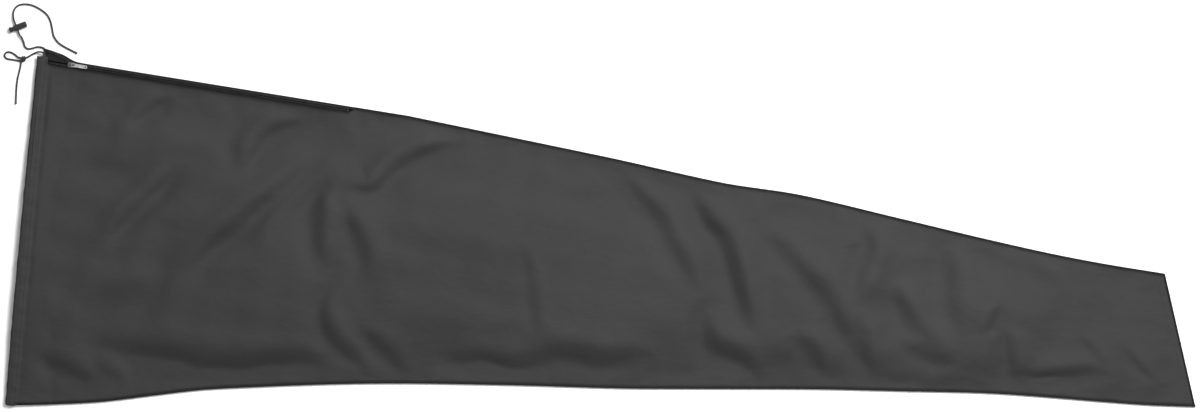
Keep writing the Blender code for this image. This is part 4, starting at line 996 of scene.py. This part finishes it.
class COVER_OT_back_cloth(bpy.types.Operator):
    """Back cloth: flat on the ground, standing up beside the zip"""

    bl_idname = "cover.back_cloth"
    bl_label = "Back Cloth"

    def execute(self, context):
        last = FAR_EDGE * (1 - BACK_END_GAP / LENGTH)
        distance = np.concatenate([np.linspace(BACK_START, 0.09, 30), np.linspace(0.09, last, 150)[1:]])
        share = distance / FAR_EDGE
        standing = 1 - ease((distance - BACK_STEP_DOWN) / RUN_OUT)
        out = flare(distance)
        near = inset(near_edge, share, np.full_like(share, BACK_NEAR_GAP), 1)
        far = inset(zip_edge, distance, BACK_TURN + BACK_WALL_GAP - out, -1)
        rows = []
        for v in np.linspace(0, 1, 40):
            plan = near + (far - near) * v
            near_rise = 0.0018 * (1 - ease(v / 0.012))
            far_rise = 0.0018 * (1 - standing) * ease((v - 0.985) / 0.015)
            waves = 0.0004 * (1 + np.sin(plan[:, 0] * 41 + 3 * plan[:, 1]))
            low = BACK_LEVEL + near_rise + far_rise + waves * ease(v / 0.1) * ease((1 - v) / 0.1)
            rows.append(np.column_stack([plan, np.broadcast_to(low, share.shape)]))
        for k in range(1, 7):
            angle = math.radians(90 * min(k, 4) / 4)
            across_up = BACK_TURN + BACK_WALL_GAP - BACK_TURN * math.sin(angle)
            height_up = BACK_LEVEL + BACK_TURN * (1 - math.cos(angle))
            if k > 4:
                height_up = 0.0020 + (BACK_WALL_TOP - 0.0020) * (k - 4) / 2
            across_flat = (BACK_TURN + BACK_WALL_GAP) * (1 - k / 6) + 0.0009 * k / 6
            across = across_flat + (across_up - across_flat) * standing
            height = BACK_OVER_LIP + (height_up - BACK_OVER_LIP) * standing
            rows.append(np.column_stack([inset(zip_edge, distance, across - out, -1), height]))
        rows = np.array(rows)
        faces = grid_faces(*rows.shape[:2])
        # The back cloth's finish is the cloth with shade painted in, darker than the front.
        cloth = put_mesh("back_cloth", placed(rows.reshape(-1, 3)), faces, finish_named("shaded inner cloth"))
        thicken(cloth, context.scene.cover_sizes.cloth_thickness)
        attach(cloth, "cover")
        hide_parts("back_panel")
        return {"FINISHED"}


def mouth_height(d):
    """Height of the front hem's middle at a distance from the near corner: a level that rises evenly to the
    zip's side, plus the crown."""
    level = HEM_UPPER_LEG + (HEM_ZIP_END_HEIGHT + 0.0012 - HEM_UPPER_LEG) * d / MOUTH_WIDTH
    return level + (FRONT_HEIGHT[0][1] - level) * crown(d / MOUTH_WIDTH)


def hem_path(upper, count):
    """The hem's middle line round the near corner and along the mouth: (distance from the corner, height)."""
    turn_middle = HEM_HALF + HEM_TURN_RADIUS
    quarter = np.linspace(math.asin(0.00015 / HEM_TURN_RADIUS), math.pi / 2, 12)
    inward = turn_middle - HEM_TURN_RADIUS * np.cos(quarter)
    upward = HEM_TURN_RADIUS * np.sin(quarter)
    if not upper:
        along = np.column_stack([inward, turn_middle - upward])
        d = np.linspace(0.0075, MOUTH_WIDTH - 0.004, count)
        return np.vstack([along, np.column_stack([d, np.full_like(d, HEM_HALF)])])
    along = np.column_stack([inward, turn_middle + upward])
    d = np.linspace(0.0075, MOUTH_WIDTH - 0.0005, count)
    return np.vstack([along, np.column_stack([d, mouth_height(d)])])


class COVER_OT_mouth_hem(bpy.types.Operator):
    """Hem: a flattened casing with the cord's bulge in it, puckered along its stitches"""

    bl_idname = "cover.mouth_hem"
    bl_label = "Mouth Hem"

    def casing(self):
        """Outline of the folded hem: half its height over the cord, falling to the stitched inner edge."""
        # Distance in from the mouth, height above the middle, depth below it.
        outline = np.array(
            (
                (0.0, 0.0004, 0.0004), (0.0006, 0.0014, 0.0014), (0.0018, 0.0019, 0.0020),
                (0.0038, 0.0022, 0.0023), (0.0065, 0.0024, 0.0025), (0.0095, 0.0025, 0.0025),
                (0.0122, 0.0023, 0.0023), (0.0143, 0.0018, 0.0019), (0.0158, 0.0011, 0.0014),
                (0.0170, 0.0008, 0.0010), (0.0180, 0.0004, 0.0004),
            )
        )
        into, top, bottom = outline.T
        return np.column_stack([np.concatenate([into, into[::-1]]), np.concatenate([top, -bottom[::-1]])])

    def execute(self, context):
        halves = (("front_mouth_hem", "front_hem", True), ("back_mouth_hem", "back_hem", False))
        for name, node, upper in halves:
            path = hem_path(upper, 260)
            ways = np.gradient(path, axis=0)
            ways[0] = (0.0, np.sign(ways[0, 1]))
            ways /= np.linalg.norm(ways, axis=1, keepdims=True)
            stations = np.column_stack([path[:, :1] * MOUTH_WAY, path[:, 1]])
            ups = np.column_stack([-ways[:, 1:] * MOUTH_WAY, ways[:, 0]])
            sides = np.tile([*INTO_COVER, 0.0], (len(path), 1))
            profile = np.tile(self.casing(), (len(path), 1, 1))
            into = profile[..., 0]
            along = np.broadcast_to(path[:, :1], into.shape)
            outer = ease(into / 0.004)
            waves = (puckers(along, into) + hem_dips(along, into)) * outer
            lumps = 0.00022 * ripple(along, 21, 0.03) * outer
            squeeze = ease(along / 0.02)
            moved = (waves + lumps) * squeeze * (1 if upper else 0.35)
            profile[..., 1] += moved
            profile[..., 0] += 0.0004 * ripple(along, 5, 0.06) * (1 - ease(into / 0.006)) * squeeze
            if not upper:
                profile[..., 1] = np.maximum(profile[..., 1], 0.0002 - path[:, 1:])
            # The hem's second UV is its distance in from the mouth, which sets the painted shade at its fold.
            hem = swept(name, stations, profile, sides, ups, finish_named("hem"), across=into)
            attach(hem, "cover")
            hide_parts(node)
        return {"FINISHED"}


class COVER_OT_piping(bpy.types.Operator):
    """Sewn edges: a slim round lip along the two long edges and the closed end"""

    bl_idname = "cover.piping"
    bl_label = "Sewn Edges"

    def lip(self, name, node, plan, heights):
        path = np.column_stack([plan, heights])
        radius = PIPING_RADIUS * (0.96 + 0.05 * ripple(lengths_along(path), 11, 0.021))
        lip = cord_tube(name, path, radius, 12, finish_named("piping"))
        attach(lip, "cover")
        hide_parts(node)

    def execute(self, context):
        middle = PIPING_RADIUS
        share = np.linspace(0.0096, 1 - middle * math.tan(END_LEAN) / LENGTH, 620)
        settled = ease((share - 0.0096) * LENGTH / 0.08)
        heights = PIPING_HEIGHT + HEM_TURN_RADIUS * 0.6 * (1 - settled)
        self.lip("near_lip", "near_seam", inset(near_edge, share, np.full_like(share, middle), 1), heights)
        last = FAR_EDGE - middle * math.tan(END_LEAN - ZIP_ANGLE)
        distance = np.linspace(TAPE_END + 0.0003, last, 440)
        standing = 1 - ease((distance - ZIP_END) / RUN_OUT)
        wall = BACK_LEVEL + (BACK_WALL_TOP - BACK_LEVEL) * standing
        heights = np.maximum(0.0015, wall) + 0.0003 + middle
        plan = inset(zip_edge, distance, np.full_like(distance, middle), -1)
        self.lip("zip_edge_lip", "zip_edge_seam", plan, heights)
        into = np.array([-math.cos(END_LEAN), -math.sin(END_LEAN)])
        across = np.linspace(0.0012, END_WIDTH - 0.0012, 80)
        plan = END_CORNER + across[:, None] * END_WAY + middle * into
        self.lip("end_lip", "end_seam", plan, np.full(len(across), PIPING_HEIGHT))
        return {"FINISHED"}


def coil_middle(distance, side):
    """Middle of a coil row across the zip; side is 1 for the front row and -1 for the back."""
    row = ZIP_INSET + side * COIL_FROM_CENTRE
    return row + (front_coil_flare(distance) if side > 0 else -back_coil_flare(distance))


class COVER_OT_zip_chain(bpy.types.Operator):
    """Zip: two knitted tapes and two coils wound loop by loop"""

    bl_idname = "cover.zip_chain"
    bl_label = "Zip Chain"

    def tape(self, name, node, distance, inner, outer):
        share = np.linspace(0, 1, 9)[:, None]
        across = inner + (outer - inner) * share
        height = ZIP_HEIGHT + 0.00012 * np.sin(distance * 90) * share
        plan = from_mouth(np.broadcast_to(distance, across.shape), across)
        points = np.concatenate([plan, np.broadcast_to(height, across.shape)[..., None]], axis=-1)
        uv = np.stack([np.broadcast_to(distance, across.shape), across], axis=-1)
        faces = grid_faces(*across.shape)
        tape = put_mesh(name, placed(points.reshape(-1, 3)), faces, finish_named("tape"), uv.reshape(-1, 2))
        thicken(tape, TAPE_THICKNESS)
        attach(tape, "cover")
        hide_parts(node)

    def coil(self, name, node, side, pitch):
        """A wire wound round an oval: s = pitch * turn, across = a cos(2 pi turn), up = b sin(2 pi turn)."""
        turns = int((COIL_END - COIL_START - 0.001) / pitch)
        turn = np.linspace(0, turns, turns * 11 + 1)
        distance = COIL_START + 0.0005 + turn * pitch + side * pitch / 4
        across = coil_middle(distance, side) + COIL_WIDE * np.cos(2 * math.pi * turn) * side
        up = COIL_HEIGHT + COIL_HIGH * np.sin(2 * math.pi * turn)
        path = np.column_stack([from_mouth(distance, across), up])
        coil = cord_tube(name, path, COIL_WIRE, 5, finish_named("coil"))
        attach(coil, "cover")
        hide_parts(node)

    def execute(self, context):
        distance = np.concatenate([np.linspace(TAPE_START, 0.09, 80), np.linspace(0.09, TAPE_END, 90)[1:]])
        reach = 0.0122 + 0.0038 * ease((distance - 0.019) / 0.005)
        inner = np.full_like(distance, ZIP_INSET + TAPE_FROM_CENTRE)
        self.tape("front_tape", "front_zip_tape", distance, inner, reach)
        inner = np.full_like(distance, ZIP_INSET - TAPE_FROM_CENTRE)
        self.tape("back_tape", "back_zip_tape", distance, inner, 0.0003 - flare(distance))
        pitch = context.scene.cover_sizes.coil_pitch
        self.coil("front_coil", "front_zip_coil", 1, pitch)
        self.coil("back_coil", "back_zip_coil", -1, pitch)
        return {"FINISHED"}


def tops(pieces, plan):
    """Heights of the highest surface of the pieces at plan points."""
    graph = bpy.context.evaluated_depsgraph_get()
    trees = [BVHTree.FromObject(bpy.data.objects[name], graph) for name in pieces]
    heights = []
    for x, y in plan:
        hits = [tree.ray_cast((x, y, 0.1), (0, 0, -1))[0] for tree in trees]
        heights.append(max((hit[2] for hit in hits if hit is not None), default=np.nan))
    return np.array(heights)


class COVER_OT_stitching(bpy.types.Operator):
    """Stitched lines along the hem, beside the zip and across the closed end"""

    bl_idname = "cover.stitching"
    bl_label = "Stitching"

    def stitches(self, name, line, pieces, length):
        """Short threads end to end on a line, each a spindle: at share u from -1 to 1 its middle line is at u
        times half its length and its radius is the thread's times (1 - u^4)^(1/2)."""
        along = lengths_along(line)
        count = int(along[-1] / length)
        middles = (np.arange(count) + 0.5) * length
        ends = middles[:, None] + np.array([-0.41, 0.0, 0.41]) * length
        plan = np.stack([np.interp(ends, along, line[:, k]) for k in (0, 1)], axis=-1) + CORNER
        heights = tops(pieces, plan.reshape(-1, 2)).reshape(count, 3)
        heights = heights + THREAD_RADIUS * np.array([-0.2, 0.75, -0.2])
        sound = ~np.isnan(heights).any(axis=1)
        knots = np.concatenate([plan, heights[..., None]], axis=-1)[sound]
        share = np.sin(np.linspace(-math.pi / 2, math.pi / 2, 7))
        bend = np.stack([share * (share - 1) / 2, 1 - share**2, share * (share + 1) / 2])
        middle = np.einsum("nkc,ks->nsc", knots, bend)
        way = knots[:, 2] - knots[:, 0]
        way /= np.linalg.norm(way, axis=1, keepdims=True)
        side = np.cross(way, (0.0, 0.0, 1.0))
        up = np.cross(side, way)
        angle = np.linspace(0, 2 * math.pi, 6, endpoint=False)
        radius = THREAD_RADIUS * np.sqrt(1.0001 - share**4)
        sideways, upwards = side[:, None, None], up[:, None, None]
        around = np.cos(angle)[:, None] * sideways + np.sin(angle)[:, None] * upwards
        points = middle[:, :, None] + radius[None, :, None, None] * around
        one = grid_faces(len(share), len(angle), closed_rows=True)
        step = len(share) * len(angle)
        faces = (one[None] + step * np.arange(len(points))[:, None, None]).reshape(-1, 4)
        uv = np.broadcast_arrays(middles[sound][:, None, None], share[:, None], angle)
        uv = np.stack(uv[:2], axis=-1).reshape(-1, 2)
        thread = put_mesh(name, points.reshape(-1, 3), faces, finish_named("thread"), uv)
        made = bmesh.new()
        made.from_mesh(thread.data)
        bmesh.ops.holes_fill(made, edges=made.edges, sides=len(angle))
        bmesh.ops.recalc_face_normals(made, faces=made.faces)
        made.to_mesh(thread.data)
        made.free()
        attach(thread, "cover")

    def execute(self, context):
        length = context.scene.cover_sizes.stitch_length
        across = np.linspace(0.012, MOUTH_WIDTH - 0.020, 400)[:, None]
        line = across * MOUTH_WAY + STITCH_FROM_MOUTH * INTO_COVER
        self.stitches("hem_stitches", line, ("front_mouth_hem", "front_cloth"), length)
        distance = np.linspace(0.028, 0.512, 400)
        line = from_mouth(distance, np.full_like(distance, STITCH_FROM_ZIP_EDGE))
        self.stitches("zip_stitches", line, ("front_cloth",), length)
        up = np.linspace(0.010, END_WIDTH - 0.008, 100)[:, None]
        into = np.array([-math.cos(END_LEAN), -math.sin(END_LEAN)])
        line = END_CORNER + up * END_WAY + (0.009 + 0.007 * up / END_WIDTH) * into
        self.stitches("end_stitches", line, ("front_cloth",), length)
        return {"FINISHED"}


class COVER_OT_fittings(bpy.types.Operator):
    """Slider, pull, stops, cord lock and sealed cord ends: the frame's own solids with their finishes"""

    bl_idname = "cover.fittings"
    bl_label = "Fittings"

    def execute(self, context):
        finishes = {
            "zip_slider_body": "slider",
            "zip_pull": "nickel",
            "front_top_stop": "stop",
            "back_top_stop": "stop",
            "zip_bottom_stop": "stop",
            "cord_lock_barrel": "nylon",
            "cord_lock_plunger": "nylon",
            "lock_cord_tip": "nylon",
            "bow_cord_tip": "nylon",
            "hem_drawcord": "cord",
        }
        for node, finish in finishes.items():
            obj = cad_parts[node]
            obj.data.materials.clear()
            obj.data.materials.append(finish_named(finish))
        return {"FINISHED"}


class COVER_OT_lock_spring(bpy.types.Operator):
    """Spring behind the cord lock's plunger, fixed to the lock's barrel"""

    bl_idname = "cover.lock_spring"
    bl_label = "Lock Spring"

    def execute(self, context):
        """The wire's middle line goes evenly from start to end along the lock, r cos(turn) across it and
        r sin(turn) up."""
        start, end = SPRING_REACH
        turn = 2 * math.pi * np.linspace(0, SPRING_TURNS, SPRING_TURNS * 16 + 1)
        along = np.array([math.cos(LOCK_ANGLE), math.sin(LOCK_ANGLE), 0.0])
        aside = np.array([-along[1], along[0], 0.0])
        radius = (SPRING_DIAMETER - SPRING_WIRE) / 2
        line = LOCK_PLACE + np.linspace(start, end, len(turn))[:, None] * along
        up = np.array([0.0, 0.0, 1.0])
        line = line + radius * (np.cos(turn)[:, None] * aside + np.sin(turn)[:, None] * up)
        spring = cord_tube("lock_spring", line, SPRING_WIRE / 2, 8, finish_named("steel"))
        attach(spring, "lock_barrel")
        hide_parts("cord_lock_spring")
        anchor = placed(LOCK_PLACE + end * along)
        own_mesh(spring)
        return {"FINISHED"}


def straight_in_lock(points):
    """The lock cord's line with its stretch through the lock made straight."""
    way = np.array([-math.sin(LOCK_ANGLE), math.cos(LOCK_ANGLE), 0.0])
    along = (points - LOCK_PLACE) @ way
    apart = np.linalg.norm(points - LOCK_PLACE - along[:, None] * way, axis=1)
    near = (1 - ease((np.abs(along) - LOCK_STRAIGHT_HALF) / 0.005)) * (apart < CORD_DIAMETER)
    return points + near[:, None] * (LOCK_PLACE + along[:, None] * way - points)


class COVER_OT_drawcords(bpy.types.Operator):
    """Free drawcord ends: one through the lock, one tied in a slipped knot"""

    bl_idname = "cover.drawcords"
    bl_label = "Drawcord Ends"

    def execute(self, context):
        path = straight_in_lock(route(LOCK_CORD_ROUTE, 0.001))
        cord = cord_tube("lock_drawcord", path, CORD_DIAMETER / 2, 14, finish_named("cord"))
        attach(cord, "cover")
        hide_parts("lock_cord")
        line = placed(path)
        turn = np.linspace(-0.25, KNOT_TURNS - 0.25, 22)
        wraps = np.column_stack(
            [
                KNOT_MIDDLE[0] + 0.0032 - KNOT_PITCH * (turn + 0.25),
                KNOT_MIDDLE[1] + KNOT_WRAP[0] * np.cos(2 * math.pi * turn),
                KNOT_MIDDLE[2] + KNOT_WRAP[1] * np.sin(2 * math.pi * turn),
            ]
        )
        points = np.vstack([BOW_CORD_ROUTE, wraps, BOW_TAIL_ROUTE])
        path = eased(route(points, 0.0006), 10)
        path[:, 2] = np.maximum(path[:, 2], CORD_DIAMETER / 2 + 0.0002)
        cord = cord_tube("bow_drawcord", path, CORD_DIAMETER / 2 * 0.97, 14, finish_named("cord"))
        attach(cord, "cover")
        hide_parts("bow_cord", "bow_loop", "bow_tail", "bow_knot")
        line = placed(path)
        return {"FINISHED"}


class COVER_OT_stage(bpy.types.Operator):
    """Floor, soft studio light and the camera straight above"""

    bl_idname = "cover.stage"
    bl_label = "Stage"

    def lamp(self, name, place, aim, size, power):
        """A square lamp that shines from its place towards its aim."""
        data = bpy.data.lights.new(name, "AREA")
        data.shape = "SQUARE"
        data.size = size
        data.energy = power
        lamp = bpy.data.objects.new(name, data)
        lamp.location = place
        lamp.rotation_euler = (Vector(aim) - Vector(place)).to_track_quat("-Z", "Y").to_euler()
        bpy.context.scene.collection.objects.link(lamp)

    def execute(self, context):
        scene = context.scene
        floor_finish = Finish("pale floor", 0.9)
        speck = floor_finish.noise(floor_finish.place(), 30.0, 2.0)
        pale = tuple(scene.cover_colours.floor)
        floor_finish.feed("Base Color", floor_finish.blended(speck, shade(pale, 0.99), pale))
        turns = ((-1, -1), (1, -1), (1, 1), (-1, 1))
        corners = [(x * FLOOR_HALF, y * FLOOR_HALF, FLOOR_LEVEL) for x, y in turns]
        floor = put_mesh("floor", corners, [(0, 1, 2, 3)], floor_finish.material)
        world = bpy.data.worlds.new("studio")
        world.use_nodes = True
        background = world.node_tree.nodes["Background"]
        background.inputs["Color"].default_value = (1, 1, 1, 1)
        background.inputs["Strength"].default_value = WORLD_LIGHT
        scene.world = world
        self.lamp("key", KEY_PLACE, KEY_AIM, KEY_SIZE, KEY_POWER)
        camera_data = bpy.data.cameras.new("camera")
        camera_data.lens = CAMERA_LENS
        camera_data.sensor_width = CAMERA_SENSOR
        camera = bpy.data.objects.new("camera", camera_data)
        x, y, z = VIEW_MIDDLE
        camera.location = (x, y, z + VIEW_WIDTH * CAMERA_LENS / CAMERA_SENSOR)
        scene.collection.objects.link(camera)
        scene.camera = camera
        scene.view_settings.view_transform = "Standard"
        return {"FINISHED"}


PIECE_OPERATORS = (
    COVER_OT_front_cloth,
    COVER_OT_back_cloth,
    COVER_OT_mouth_hem,
    COVER_OT_piping,
    COVER_OT_zip_chain,
    COVER_OT_stitching,
    COVER_OT_fittings,
    COVER_OT_lock_spring,
    COVER_OT_drawcords,
    COVER_OT_stage,
)


class COVER_PT_sidebar(bpy.types.Panel):
    """The cover's pieces and their settings"""

    bl_idname = "COVER_PT_sidebar"
    bl_label = "Parasol Cover"
    bl_space_type = "VIEW_3D"
    bl_region_type = "UI"
    bl_category = "Parasol Cover"

    def draw(self, context):
        for group in (context.scene.cover_sizes, context.scene.cover_colours):
            for name in group.bl_rna.properties.keys():
                if name not in ("rna_type", "name"):
                    self.layout.prop(group, name)
        for operator in PIECE_OPERATORS:
            self.layout.operator(operator.bl_idname)


CLASSES = (CoverColours, CoverSizes, *PIECE_OPERATORS, COVER_PT_sidebar)


def register():
    for cls in CLASSES:
        bpy.utils.register_class(cls)
    bpy.types.Scene.cover_colours = PointerProperty(type=CoverColours)
    bpy.types.Scene.cover_sizes = PointerProperty(type=CoverSizes)


def unregister():
    del bpy.types.Scene.cover_sizes
    del bpy.types.Scene.cover_colours
    for cls in reversed(CLASSES):
        bpy.utils.unregister_class(cls)


def main():
    register()
    for operator in PIECE_OPERATORS:
        getattr(bpy.ops.cover, operator.bl_idname.split(".")[1])()
    bpy.context.view_layer.update()


if __name__ == "__main__":
    main()
